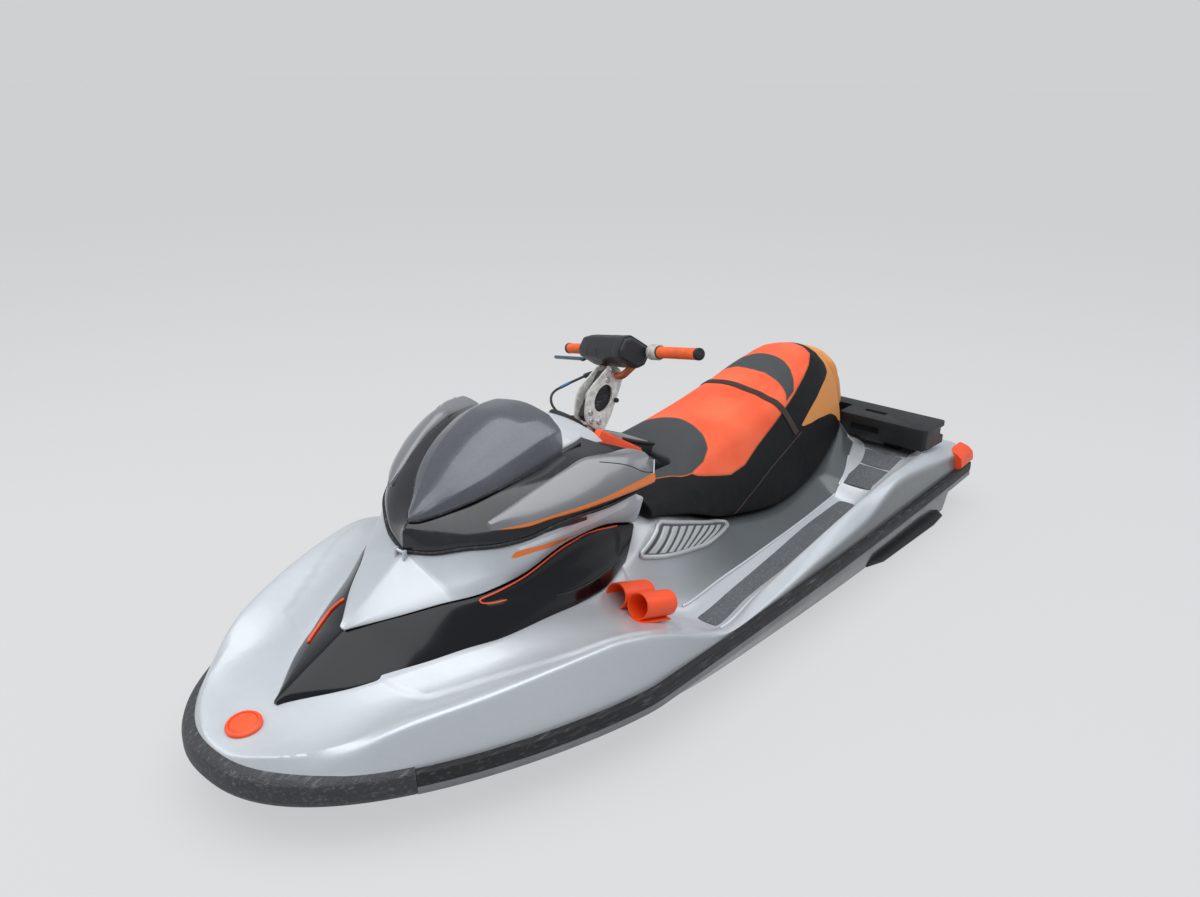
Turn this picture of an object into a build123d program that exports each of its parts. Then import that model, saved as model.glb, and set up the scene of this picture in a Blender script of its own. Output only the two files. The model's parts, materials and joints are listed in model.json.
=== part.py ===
"""Sit-down personal watercraft, afloat, in millimetres.

+X is the bow, +Y is port, +Z is up. The origin is the centre of the waterplane.
The lines plan is drawn at DRAWN_LENGTH by DRAWN_BEAM and stretched to LENGTH and BEAM.
"""
from build123d import *
from math import cos, radians, sin, tan
import os

os.makedirs("parts", exist_ok=True)

# Overall sizes
LENGTH = 3060.0
BEAM = 1221.0
DRAWN_LENGTH = 3060.0
DRAWN_BEAM = 1221.0

# Heights above the waterline that several pieces share
BOND_Z = 118.0
BUMPER_LOW_Z = 112.0
BUMPER_TOP_Z = 172.0
FIT_GAP = 0.3

# Bumper and corner caps
BUMPER_THICK = 22.0
BOW_BUMPER_LOW_Z = 98.0
BOW_BUMPER_TOP_Z = 180.0
BOW_BUMPER_END_X = 1235.0
CORNER_CAP_START_X = -1400.0
CORNER_CAP_THICK = 34.0

# Front storage bin and its lid
BIN_FORE_X, BIN_AFT_X = 830.0, 480.0
BIN_HALF_WIDTH = 150.0
BIN_FLOOR_Z = 150.0
LID_WALL = 12.0
REAR_LEDGE = (350.0, 560.0)
LID_SEAL = 6.0
LID_GAP = LID_SEAL + FIT_GAP
HINGE_X, HINGE_Z = 932.0, 486.0
HINGE_PIN_RADIUS = 4.0
HINGE_HALF_WIDTH = 16.0

# Steering column: its foot, and the lean of its axis back from upright
COLUMN_X, COLUMN_Z = 188.0, 624.0
COLUMN_LEAN = 36.87
STEER_REST = 20.0
BAR_HEIGHT = 275.0
BAR_SET_BACK = -9.0
BAR_RADIUS = 11.0
GRIP_RADIUS = 17.0
GRIP_INNER_Y, GRIP_OUTER_Y = 172.0, 352.0
SWITCH_INNER_Y = 126.0
PLATE_THICK = 8.0
PLATE_SPREAD = 30.0
SHAFT_RADIUS = 14.0
SHAFT_CLEARANCE = 0.05
BAR_PAD_SIZE = (122.0, 232.0, 80.0)
BAR_PAD_X, BAR_PAD_DROP = 40.0, 25.0
BAR_LOW_X, BAR_DROP = 12.0, 95.0
CABLE_RADIUS = 4.0
PLATE_BOLTS = ((36.0, 30.0), (40.0, 150.0))
PLATE_HOLE, PLATE_HOLE_SIZE = (24.0, 98.0), (27.0, 44.0)

# Glovebox in the console
GLOVE_FORE_X, GLOVE_AFT_X = 128.0, -30.0
GLOVE_HALF_WIDTH = 78.0
GLOVE_DEPTH = 70.0
GLOVE_LID_THICK, GLOVE_LID_DEPTH = 14.0, 7.7
GLOVE_PIN_RADIUS, GLOVE_PIN_HALF_WIDTH = 4.0, 60.0
GAUGE_RADIUS = 51.7

# Water jet
JET_Z = -125.0
TUNNEL_FORE_X, TRANSOM_X = -930.0, -1360.0
TUNNEL_HALF_WIDTH = 150.0
TUNNEL_TOP_Z = 62.0
PUMP_RADIUS, PUMP_BORE = 96.0, 78.0
PUMP_AFT_X = -1170.0
OUTLET_X = -1263.0
OUTLET_RADIUS, OUTLET_BORE = 66.0, 56.0
BLADE_GAP = 2.0
HUB_FORE_X, HUB_RADIUS, STUB_RADIUS = -1082.0, 28.0, 10.0
STATOR_VANES = 5
ROTOR_X = -1010.0
PIVOT_X = -1300.0
NOZZLE_RATIO = 0.8
NOZZLE_INLET, NOZZLE_OUTLET = 70.0, 46.0
NOZZLE_WALL = 6.0
NOZZLE_LENGTH = 128.0
BUCKET_RADIUS, BUCKET_WALL = 150.0, 6.0
BUCKET_HALF_WIDTH = 119.0
PIN_RADIUS = 6.0
SHAFT_DRIVE_RADIUS = 14.0
SHAFT_HOLE_GAP = 4.0
PUMP_FLANGE = 4.0
RIDE_PLATE_Z, RIDE_PLATE_THICK = -238.0, 12.0
INTAKE_FORE_X, INTAKE_AFT_X = -430.0, -850.0
INTAKE_HALF_WIDTH = 80.0
INTAKE_TOP_Z = -48.0

# Towing eyes: place, hole radius and thickness
BOW_EYE = (1395.0, 8.0)
STERN_EYE = (330.0, 20.0)
EYE_HOLE, EYE_THICK = 10.0, 12.0

# Engine bay
BAY_FORE_X, BAY_AFT_X = 10.0, -400.0
BAY_HALF_WIDTH = 170.0
BAY_FLOOR_Z = -148.0
ENGINE_SIZE = (360.0, 300.0, 205.0)

# Twin cup holder on the port ledge
CUP_RADIUS, CUP_WALL, CUP_LENGTH = 31.0, 3.0, 112.0
CUP_PITCH, CUP_END = 68.0, 9.0
CUP_TURN, CUP_TILT = 3.0, 16.0
CUP_PLACE = (424.0, 400.0, 244.0)
CUP_BASE_THICK = 4.0

# Cargo rack at the stern
RACK_SIZE = (178.0, 980.0, 84.0)
RACK_X, RACK_Z = -1268.0, 290.0
RACK_LEG_Y = 330.0
RACK_NOTCH = (112.0, 122.0)
RACK_SLOT, RACK_SLOT_Y = (90.0, 30.0), 236.0

# Filler cap on the bow deck
CAP_RADIUS, CAP_HEIGHT, CAP_X = 41.0, 16.0, 1420.0

# Deck lines: x, then y and z of the crease, rail, floor outside, floor inside and plateau
DECK_ROWS = [
    (1515, (81, 184), (66, 186), (50, 186), (34, 186), (18, 186)),
    (1460, (174, 203), (149, 205), (110, 203), (70, 200), (30, 200)),
    (1380, (255, 222), (225, 222), (190, 212), (90, 208), (40, 208)),
    (1310, (309, 240), (280, 239), (225, 221), (50, 226), (25, 226)),
    (1188, (381, 277), (350, 275), (255, 239), (140, 250), (126, 250)),
    (1030, (451, 298), (420, 296), (330, 262), (232, 278), (216, 280)),
    (850, (510, 317), (480, 313), (395, 285), (314, 302), (299, 305)),
    (700, (546, 324), (515, 320), (455, 300), (340, 308), (322, 312)),
    (600, (560, 307), (530, 302), (470, 290), (345, 296), (327, 310)),
    (480, (560, 262), (533, 257), (485, 250), (330, 262), (312, 309)),
    (360, (567, 212), (540, 208), (510, 200), (345, 214), (288, 330)),
    (220, (594, 178), (553, 180), (540, 150), (406, 150), (280, 415)),
    (0, (587, 190), (530, 205), (515, 150), (395, 150), (266, 345)),
    (-240, (575, 203), (523, 240), (500, 150), (383, 150), (250, 250)),
    (-600, (560, 225), (515, 285), (465, 150), (345, 150), (240, 190)),
    (-850, (548, 290), (507, 308), (400, 152), (322, 152), (222, 215)),
    (-880, (547, 292), (505, 310), (415, 200), (305, 200), (219, 222)),
    (-1080, (541, 275), (493, 305), (440, 232), (235, 235), (190, 310)),
    (-1170, (538, 262), (487, 297), (450, 245), (200, 246), (140, 340)),
    (-1270, (533, 248), (482, 285), (455, 250), (150, 250), (80, 252)),
    (-1515, (524, 215), (470, 236), (440, 235), (120, 235), (60, 236)),
]

# Hull lines: x, keel z, chine y, chine z
HULL_ROWS = [
    (-1360, -235, 500, -53),
    (-600, -235, 505, -52),
    (200, -232, 490, -46),
    (700, -205, 420, -22),
    (1050, -130, 310, 15),
    (1300, -15, 175, 62),
    (1440, 65, 80, 95),
    (1505, 100, 30, 108),
]

# Cowl lines: x, half width at the deck, half width and z of its upper edge
COWL_ROWS = [
    (1332, 3, 1, 232),
    (1300, 32, 3, 250),
    (1188, 126, 5, 305),
    (1125, 163, 7, 336),
    (1030, 215, 100, 370),
    (950, 252, 162, 392),
    (850, 298, 236, 416),
    (740, 316, 262, 436),
    (600, 326, 276, 478),
    (480, 317, 296, 492),
    (360, 287, 318, 470),
]

# Hood lines: x, half width and z of the seal line
SEAL_ROWS = [
    (918, 12, 486),
    (895, 86, 497),
    (850, 164, 520),
    (800, 228, 531),
    (740, 276, 546),
    (674, 320, 576),
    (610, 346, 590),
    (500, 366, 596),
    (410, 366, 600),
]

# Hood skin: x, crown y and z outside the dome, dome foot y and z
HOOD_ROWS = [
    (918, (11, 500), (6, 540)),
    (895, (80, 516), (14, 556)),
    (850, (150, 552), (56, 570)),
    (800, (208, 578), (102, 594)),
    (740, (246, 610), (142, 624)),
    (674, (284, 642), (166, 648)),
    (610, (300, 668), (182, 666)),
    (500, (316, 694), (196, 694)),
    (410, (318, 696), (196, 700)),
]

# Dome: x, foot half width, foot z, crown z
DOME_ROWS = [
    (890, 10, 560, 572),
    (850, 50, 572, 610),
    (740, 138, 626, 698),
    (654, 170, 653, 750),
    (560, 188, 678, 784),
    (490, 193, 694, 780),
    (478, 186, 696, 752),
    (440, 178, 700, 743),
    (402, 166, 701, 734),
]

# Mirror pods: x, inner y, outer y, low z, ridge y and z
POD_ROWS = [
    (800, 188, 216, 556, 200, 590),
    (740, 204, 286, 566, 230, 620),
    (690, 222, 320, 580, 248, 644),
    (600, 250, 368, 594, 280, 684),
    (520, 264, 392, 603, 308, 709),
    (440, 276, 408, 610, 356, 706),
    (380, 280, 412, 612, 366, 702),
]

# Console: x, half width at its foot, half width and z of its top
CONSOLE_ROWS = [
    (392, 270, 165, 655),
    (350, 262, 155, 650),
    (230, 128, 108, 622),
    (150, 118, 100, 596),
    (-52, 116, 100, 478),
]

# Seat: x, top z, shoulder y and z, flank y and z
SEAT_ROWS = [
    (220, 490, (200, 489), (262, 466)),
    (0, 500, (165, 490), (236, 432)),
    (-240, 538, (152, 517), (207, 408)),
    (-600, 609, (150, 583), (200, 440)),
    (-850, 668, (140, 638), (190, 486)),
    (-930, 680, (134, 648), (184, 498)),
    (-1080, 650, (112, 612), (156, 490)),
    (-1165, 536, (86, 505), (112, 436)),
]
SEAT_CUT_HALF_WIDTH = 130.0

# Control cable's route in the column's frame, from the starboard plate to the plate's foot
CABLE_ROUTE = [(44, -34, 170), (44, -64, 168), (60, -88, 140), (90, -104, 100), (118, -108, 62),
               (112, -96, 28), (80, -82, 10), (48, -70, 14), (20, -60, 32), (20, -34, 34)]

# Steering plate outline in the column's frame: ahead of the column's axis, and up it
PLATE_OUTLINE = [(-22, 10), (-25, 72), (-20, 111), (-14, 160), (0, 196), (22, 203), (46, 194), (62, 158),
                 (78, 104), (66, 44), (40, 8), (10, 3)]


def fore(x):
    """Distance along the craft, stretched to the set length."""
    return x * LENGTH / DRAWN_LENGTH


def abeam(y):
    """Distance across the craft, stretched to the set beam."""
    return y * BEAM / DRAWN_BEAM


def half_beam(x):
    """Half width over the bumper at a drawn x: a rounded bow, then a slow taper aft."""
    bow_length = 936.0
    from_tip = DRAWN_LENGTH / 2 - x
    if from_tip < bow_length:
        share = 1.0 - max(1.0 - from_tip / bow_length, 0.0) ** 1.34
        return abeam(610.6 * max(share, 0.0) ** 0.4425)
    aft = (from_tip - bow_length) / (DRAWN_LENGTH - bow_length)
    return abeam(610.6 - 58.6 * aft ** 2)


def between(rows, x, column):
    """Value of one column of a table at a drawn x, on the line between its rows."""
    for ahead, behind in zip(rows[:-1], rows[1:]):
        if ahead[0] >= x >= behind[0]:
            share = (ahead[0] - x) / (ahead[0] - behind[0])
            return ahead[column] + (behind[column] - ahead[column]) * share
    raise ValueError(f"x {x} is outside the table")


def plateau_z(x):
    """Height of the deck's flat middle at a drawn x."""
    return between([(row[0], row[5][1]) for row in DECK_ROWS], x, 1)


def plateau_y(x):
    """Half width of the deck's flat middle at a drawn x."""
    return between([(row[0], row[5][0]) for row in DECK_ROWS], x, 1)


def wire_at(x, half_profile):
    """Closed outline at a drawn x from points y, z that run from low centre to high centre."""
    points = [(fore(x), abeam(y), z) for y, z in half_profile]
    mirrored = [(px, -py, pz) for px, py, pz in reversed(points) if py > 0.01]
    return Wire.make_polygon([Vector(*p) for p in points + mirrored], close=True)


def side_wire_at(x, profile):
    """Closed outline at a drawn x that stays on one side of the craft."""
    return Wire.make_polygon([Vector(fore(x), abeam(y), z) for y, z in profile], close=True)


def ruled(wires):
    """Solid with straight lines between outlines."""
    return Part() + Solid.make_loft(wires, ruled=True)


def both_sides(shape):
    """A shape and its mirror image across the centre line."""
    return [shape, mirror(shape, about=Plane.XZ)]


def block(x_low, x_high, y_low, y_high, z_low, z_high):
    """Box between two corners."""
    size = (x_high - x_low, y_high - y_low, z_high - z_low)
    middle = ((x_high + x_low) / 2, (y_high + y_low) / 2, (z_high + z_low) / 2)
    return Pos(*middle) * Box(*size)


def rod_x(radius, x_low, x_high, y, z):
    """Round bar along X."""
    return Pos((x_low + x_high) / 2, y, z) * Rot(0, 90, 0) * Cylinder(radius, x_high - x_low)


def rod_y(radius, y_low, y_high, x, z):
    """Round bar along Y."""
    return Pos(x, (y_low + y_high) / 2, z) * Rot(90, 0, 0) * Cylinder(radius, y_high - y_low)


def rod_z(radius, z_low, z_high, x, y):
    """Round bar along Z."""
    return Pos(x, y, (z_low + z_high) / 2) * Cylinder(radius, z_high - z_low)


def plan_points(inset, x_values):
    """Port side points of the outline in plan, set in by a distance."""
    return [(fore(x), max(half_beam(x) - inset, 0.0)) for x in x_values]


def rail(inset_out, inset_in, x_values, z_low, z_high):
    """Upright band that follows the outline in plan on the port side."""
    outer = plan_points(inset_out, x_values)
    inner = plan_points(inset_in, x_values)
    face = make_face(Polyline(*outer, *reversed(inner), close=True))
    return Pos(0, 0, z_low) * extrude(face, z_high - z_low)


def build_hull():
    """Vee bottom with its chine, engine bay, intake duct and jet tunnel."""
    wires = []
    for x, keel_z, chine_y, chine_z in HULL_ROWS:
        top_y = (half_beam(x) - BUMPER_THICK) * DRAWN_BEAM / BEAM
        profile = [(0, keel_z), (chine_y, chine_z), (chine_y + 12, chine_z + 8),
                   (top_y, BOND_Z - 8), (top_y, BOND_Z), (0, BOND_Z)]
        wires.append(wire_at(x, profile))
    hull = ruled(wires)
    deep = BOND_Z - 500
    hull -= block(fore(TRANSOM_X) - 20, fore(TUNNEL_FORE_X), -TUNNEL_HALF_WIDTH,
                  TUNNEL_HALF_WIDTH, deep, TUNNEL_TOP_Z)
    hull -= block(fore(INTAKE_AFT_X), fore(INTAKE_FORE_X), -INTAKE_HALF_WIDTH,
                  INTAKE_HALF_WIDTH, deep, INTAKE_TOP_Z)
    hull -= rod_x(PUMP_BORE, fore(TUNNEL_FORE_X) - 5, fore(INTAKE_AFT_X) + 5, 0, JET_Z)
    hull -= block(fore(BAY_AFT_X), fore(BAY_FORE_X), -BAY_HALF_WIDTH, BAY_HALF_WIDTH,
                  BAY_FLOOR_Z, BOND_Z + 1)
    hull -= rod_x(SHAFT_DRIVE_RADIUS + SHAFT_HOLE_GAP, fore(INTAKE_FORE_X) - 5, fore(BAY_AFT_X) + 5, 0, JET_Z)
    return hull


def build_deck():
    """Deck with its side rails, footwells, seat pedestal and the front storage bin."""
    wires = []
    for x, crease, inner_rail, floor_out, floor_in, plateau in DECK_ROWS:
        edge_y = (half_beam(x) - BUMPER_THICK) * DRAWN_BEAM / BEAM
        profile = [(0, BOND_Z), (edge_y, BOND_Z), (edge_y, BUMPER_TOP_Z), crease, inner_rail,
                   floor_out, floor_in, plateau, (0, plateau[1])]
        wires.append(wire_at(x, profile))
    return ruled(wires) - storage_bin()


def storage_bin():
    """Space of the front storage bin."""
    return block(fore(BIN_AFT_X), fore(BIN_FORE_X), -BIN_HALF_WIDTH, BIN_HALF_WIDTH,
                 BIN_FLOOR_Z, BIN_FLOOR_Z + 600)


def build_side_cowl():
    """Gloss cowl round the nose, from the deck up to the nose cowl's edge."""
    wires = []
    for x, deck_y, top_y, top_z in COWL_ROWS:
        foot_z = plateau_z(x)
        middle = (deck_y * 0.55 + top_y * 0.45 + 8, foot_z * 0.5 + top_z * 0.5 + 6)
        wires.append(wire_at(x, [(0, foot_z), (deck_y, foot_z), middle, (top_y, top_z), (0, top_z)]))
    return ruled(wires) - storage_bin() - deck_solid


def build_nose_cowl():
    """Silver nose between the gloss cowl and the hood, with the ledge that the lid closes on."""
    wires = []
    for x, deck_y, top_y, top_z in COWL_ROWS[3:]:
        if x > SEAL_ROWS[0][0]:
            rise = (SEAL_ROWS[0][2] - 336) * (1125 - x) / (1125 - SEAL_ROWS[0][0])
            ledge = (max(top_y * 0.12, 3), 338 + rise)
        elif x < SEAL_ROWS[-1][0]:
            ledge = (REAR_LEDGE[0], REAR_LEDGE[1])
        else:
            ledge = (between(SEAL_ROWS, x, 1), between(SEAL_ROWS, x, 2) - LID_GAP)
        wires.append(wire_at(x, [(0, top_z), (top_y, top_z), ledge, (0, ledge[1])]))
    cowl = ruled(wires) - storage_bin()
    hinge_slot = block(fore(HINGE_X - 56), fore(HINGE_X) + 12, -HINGE_HALF_WIDTH - 6,
                       HINGE_HALF_WIDTH + 6, HINGE_Z - 22, HINGE_Z + 60)
    return cowl - hinge_slot


def build_hood_hinge():
    """Two fixed ears and the pin that the lid turns on."""
    ears = []
    for side in (-1, 1):
        y_mid = side * (HINGE_HALF_WIDTH + 1)
        ears.append(block(fore(HINGE_X) - 6, fore(HINGE_X) + 6, y_mid - 3, y_mid + 3,
                          HINGE_Z - 22, HINGE_Z + 6))
    pin = rod_y(HINGE_PIN_RADIUS, -HINGE_HALF_WIDTH - 5, HINGE_HALF_WIDTH + 5, fore(HINGE_X), HINGE_Z)
    return ears[0] + ears[1] + pin


def build_hood_seal():
    """Rubber seal on the nose cowl's ledge, under the lid's rim."""
    outer, inner = [], []
    for x, rim_y, rim_z in SEAL_ROWS[1:]:
        low = rim_z - LID_GAP
        outer.append(wire_at(x, [(0, low), (rim_y - 4, low), (rim_y - 4, low + LID_SEAL),
                                 (0, low + LID_SEAL)]))
        inner.append(wire_at(x, [(0, low - 5), (rim_y - 24, low - 5), (rim_y - 24, low + 20), (0, low + 20)]))
    return ruled(outer) - ruled(inner) - nose_cowl_solid


def hood_block(shrink):
    """Outer form of the hood, or its inside when shrunk by a wall."""
    wires = []
    for (x, rim_y, rim_z), (_, crown, foot) in zip(SEAL_ROWS, HOOD_ROWS):
        low = rim_z - (20 if shrink else 0)
        rim = max(rim_y - shrink, 2)
        crown_y = max(crown[0] - shrink, 1.5)
        foot_y = max(foot[0] - shrink, 1.0)
        wires.append(wire_at(x, [(0, low), (rim, low), (crown_y, crown[1] - shrink),
                                 (foot_y, foot[1] - shrink), (0, foot[1] - shrink + 1)]))
    return ruled(wires)


def build_hood_shell():
    """Hood skin with its rim and the knuckle that turns on the hinge pin."""
    shell = hood_block(0) - hood_block(LID_WALL)
    aft_x = fore(SEAL_ROWS[-1][0])
    shell += hood_block(0) & block(aft_x - 1, aft_x + LID_WALL, -LENGTH, LENGTH, 604, 800)
    arm = block(fore(886), fore(HINGE_X), -9, 9, HINGE_Z - 1, HINGE_Z + 6)
    arm += block(fore(886), fore(910), -9, 9, HINGE_Z + 4, HINGE_Z + 26)
    knuckle = rod_y(7, -12, 12, fore(HINGE_X), HINGE_Z)
    bore = rod_y(HINGE_PIN_RADIUS + SHAFT_CLEARANCE, -40, 40, fore(HINGE_X), HINGE_Z)
    return shell + arm + knuckle - bore


def build_hood_dome():
    """Raised dome on the hood."""
    wires = []
    for x, foot_y, foot_z, crown_z in DOME_ROWS:
        rise = crown_z - foot_z
        wires.append(wire_at(x, [(0, foot_z), (foot_y, foot_z), (foot_y * 0.96, foot_z + rise * 0.4),
                                 (foot_y * 0.72, foot_z + rise * 0.8), (0, crown_z)]))
    return ruled(wires) - hood_block(0)


def build_mirror_pods():
    """Pods outside the dome that carry the mirrors."""
    wires = []
    for x, inner_y, outer_y, low_z, ridge_y, high_z in POD_ROWS:
        mid_z = low_z * 0.55 + high_z * 0.45
        wires.append(side_wire_at(x, [(inner_y, low_z), (outer_y - 14, low_z), (outer_y, mid_z),
                                      (ridge_y, high_z), (inner_y, high_z - 12)]))
    pod = ruled(wires) - hood_block(0) - build_hood_dome()
    x_aft = fore(POD_ROWS[-1][0])
    pod -= block(x_aft - 1, x_aft + 6, abeam(300), abeam(400), 624, 688)
    return both_sides(pod)


def build_mirror_glasses():
    """Mirror glass set in the back of each pod."""
    x_aft = fore(POD_ROWS[-1][0])
    glass = block(x_aft + 1, x_aft + 6, abeam(300) + 0.2, abeam(400) - 0.2, 624.2, 687.8)
    return both_sides(glass)


def console_block():
    """Outer form of the console."""
    wires = []
    for x, foot_y, top_y, top_z in CONSOLE_ROWS:
        foot_z = plateau_z(x)
        middle = (foot_y * 0.6 + top_y * 0.4, foot_z * 0.35 + top_z * 0.65)
        wires.append(wire_at(x, [(0, foot_z), (foot_y, foot_z), middle, (top_y, top_z), (0, top_z)]))
    return ruled(wires)


def console_slope_frame(x_aft, x_fore):
    """Plane on the console's sloping top, between two drawn x."""
    low = Vector(fore(x_aft), 0, between(CONSOLE_ROWS, x_aft, 3))
    high = Vector(fore(x_fore), 0, between(CONSOLE_ROWS, x_fore, 3))
    along = (high - low).normalized()
    return Plane(origin=low, x_dir=along, z_dir=along.cross(Vector(0, 1, 0))), (high - low).length


def glovebox_frame():
    """Plane and length of the glovebox mouth."""
    return console_slope_frame(GLOVE_AFT_X, GLOVE_FORE_X)


def build_console():
    """Console between the hood and the seat, with its glovebox and the column's seat."""
    console = console_block() - deck_solid - side_cowl_solid - nose_cowl_solid
    frame, length = glovebox_frame()
    mouth = Pos(length / 2, 0, -GLOVE_DEPTH / 2) * Box(length - 12, 2 * GLOVE_HALF_WIDTH - 12, GLOVE_DEPTH)
    seat_depth = GLOVE_LID_DEPTH + FIT_GAP
    lid_seat = Pos(length / 2, 0, 0) * Box(length + 10, 2 * GLOVE_HALF_WIDTH + 10, 2 * seat_depth)
    console -= frame.location * mouth
    console -= frame.location * lid_seat
    column = steering_location(0)
    console -= column * Pos(0, 0, -20) * Cylinder(SHAFT_RADIUS + SHAFT_CLEARANCE, 90)
    console -= column * Pos(0, 0, 40) * Cylinder(60, 80)
    return console


def build_glovebox_lid():
    """Glovebox lid on the console's slope, hinged at its front edge."""
    frame, length = glovebox_frame()
    top = GLOVE_LID_THICK - GLOVE_LID_DEPTH
    panel = Pos(length / 2, 0, top - GLOVE_LID_THICK / 2) * Box(length, 2 * GLOVE_HALF_WIDTH, GLOVE_LID_THICK)
    barrel = rod_y(GLOVE_PIN_RADIUS, -GLOVE_PIN_HALF_WIDTH, GLOVE_PIN_HALF_WIDTH, length, top)
    return frame.location * (panel + barrel)


def build_glovebox_trim():
    """Two coloured strips on the glovebox lid's edges."""
    frame, length = glovebox_frame()
    top = GLOVE_LID_THICK - GLOVE_LID_DEPTH
    strip = Pos(length / 2, GLOVE_HALF_WIDTH - 9, top + 4) * Box(length - 8, 16, 8)
    strip = frame.location * strip
    return both_sides(strip)


def build_gauge_pod():
    """Binnacle behind the dome."""
    rows = [(388, 150, 655, 724), (330, 140, 646, 706), (262, 118, 629, 652)]
    wires = []
    for x, half_width, low_z, high_z in rows:
        shoulder = (half_width * 0.9, low_z + (high_z - low_z) * 0.6)
        wires.append(wire_at(x, [(0, low_z), (half_width, low_z), shoulder, (half_width * 0.6, high_z),
                                 (0, high_z + 4)]))
    pod = ruled(wires) - console_block()
    return pod - gauge_location() * Cylinder(GAUGE_RADIUS + FIT_GAP, 24)


def gauge_location():
    """Face of the gauge, turned back and up towards the rider."""
    slope = Vector(fore(330) - fore(262), 0, 706 - 652).normalized()
    face = Plane(origin=(fore(297), 0, 680), x_dir=slope, z_dir=slope.cross(Vector(0, 1, 0)))
    return face.location


def build_gauge():
    """Round gauge set in the binnacle."""
    return gauge_location() * Pos(0, 0, -4.5) * Cylinder(GAUGE_RADIUS, 14)


def seat_block():
    """Outer form of the seat, down to the pedestal."""
    wires = []
    for x, top_z, shoulder, flank in SEAT_ROWS:
        foot = (plateau_y(x), plateau_z(x))
        wires.append(wire_at(x, [(0, foot[1]), foot, flank, shoulder, (0, top_z)]))
    return ruled(wires)


def build_seat():
    """Seat cushion that straddles the pedestal and wraps the console."""
    cut = block(fore(-56), fore(260), -abeam(SEAT_CUT_HALF_WIDTH), abeam(SEAT_CUT_HALF_WIDTH), 200, 800)
    return seat_block() - cut


def build_seat_strap():
    """Strap across the seat, laid on the cushion."""
    cut_fore, cut_aft = -640, -700
    outer = []
    for x in (cut_fore, cut_aft):
        top_z = between([(r[0], r[1]) for r in SEAT_ROWS], x, 1)
        sh_y = between([(r[0], r[2][0]) for r in SEAT_ROWS], x, 1)
        sh_z = between([(r[0], r[2][1]) for r in SEAT_ROWS], x, 1)
        fl_y = between([(r[0], r[3][0]) for r in SEAT_ROWS], x, 1)
        fl_z = between([(r[0], r[3][1]) for r in SEAT_ROWS], x, 1)
        outer.append(wire_at(x, [(0, fl_z - 60), (fl_y + 6, fl_z - 60), (fl_y + 4, fl_z),
                                 (sh_y + 3, sh_z + 3), (0, top_z + 4)]))
    return ruled(outer) - seat_block()


def build_seat_tail():
    """Coloured grab cowl behind the seat."""
    rows = [(-1080, 114, 470, 634), (-1165, 100, 400, 580), (-1225, 84, 380, 522), (-1262, 52, 372, 454)]
    wires = []
    for x, half_width, low_z, high_z in rows:
        wires.append(wire_at(x, [(0, low_z), (half_width, low_z), (half_width, low_z * 0.5 + high_z * 0.5),
                                 (half_width * 0.7, high_z), (0, high_z + 6)]))
    return ruled(wires) - seat_block()


def build_tail_pedestal():
    """Post under the grab cowl, down to the aft deck."""
    rows = [(-1168, 60), (-1235, 40)]
    wires = []
    for x, half_width in rows:
        top_z = between([(-1165, 400), (-1225, 380), (-1262, 372)], x, 1)
        low_z = plateau_z(x)
        wires.append(wire_at(x, [(0, low_z - 10), (half_width, low_z - 10),
                                 (half_width * 0.8, top_z + 8), (0, top_z + 8)]))
    return ruled(wires) - deck_solid - tail_solid - seat_solid


def build_footwell_mats():
    """Traction mats on the footwell floors and on the steps behind them."""
    thick = 5.0
    mats = []
    margin = 14.0
    for x_fore, x_aft in [(200, -838), (-892, -1072)]:
        wires = []
        inside = [row[0] for row in DECK_ROWS if x_aft < row[0] < x_fore]
        for x in [x_fore] + inside + [x_aft]:
            out_y = between([(r[0], r[3][0]) for r in DECK_ROWS], x, 1) - margin
            out_z = between([(r[0], r[3][1]) for r in DECK_ROWS], x, 1)
            in_y = between([(r[0], r[4][0]) for r in DECK_ROWS], x, 1) + margin
            in_z = between([(r[0], r[4][1]) for r in DECK_ROWS], x, 1)
            wires.append(side_wire_at(x, [(in_y, in_z - 1), (out_y, out_z - 1),
                                          (out_y, out_z + thick), (in_y, in_z + thick)]))
        mats.append(ruled(wires) - deck_solid)
    return [piece for mat in mats for piece in both_sides(mat)]


def build_aft_mat():
    """Traction mat on the aft boarding deck."""
    x_fore, x_aft = -1176, -1495
    wires = []
    for x, z in ((x_fore, 246), (-1270, 250), (x_aft, 236)):
        wires.append(wire_at(x, [(0, z - 20), (425, z - 20), (425, z + 6), (0, z + 6)]))
    return ruled(wires) - deck_solid - rack_legs() - tail_pedestal_solid


def build_side_bumpers():
    """Rubber bumper along each side."""
    x_values = [BOW_BUMPER_END_X] + [row[0] for row in DECK_ROWS if row[0] < BOW_BUMPER_END_X]
    band = rail(0, BUMPER_THICK, x_values, BUMPER_LOW_Z, BUMPER_TOP_Z)
    return both_sides(band - deck_solid - hull_solid)


def build_bow_bumper():
    """Broad rubber nose round the bow."""
    x_values = [1529.9, 1520, 1500, 1470, 1430, 1380, 1310, BOW_BUMPER_END_X + 1]
    outer = plan_points(0, x_values)
    nose = [(x, y) for x, y in outer] + [(x, -y) for x, y in reversed(outer)]
    face = make_face(Polyline(*nose, close=True))
    band = Pos(0, 0, BOW_BUMPER_LOW_Z) * extrude(face, BOW_BUMPER_TOP_Z - BOW_BUMPER_LOW_Z)
    inner_values = [1508, 1490, 1460, 1420, 1370, 1300, BOW_BUMPER_END_X - 60]
    inner = plan_points(BUMPER_THICK - FIT_GAP, inner_values)
    core = [(x, y) for x, y in inner] + [(x, -y) for x, y in reversed(inner)]
    core_face = make_face(Polyline(*core, close=True))
    band -= Pos(0, 0, BOW_BUMPER_LOW_Z - 20) * extrude(core_face, 200)
    return band - deck_solid - hull_solid


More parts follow.
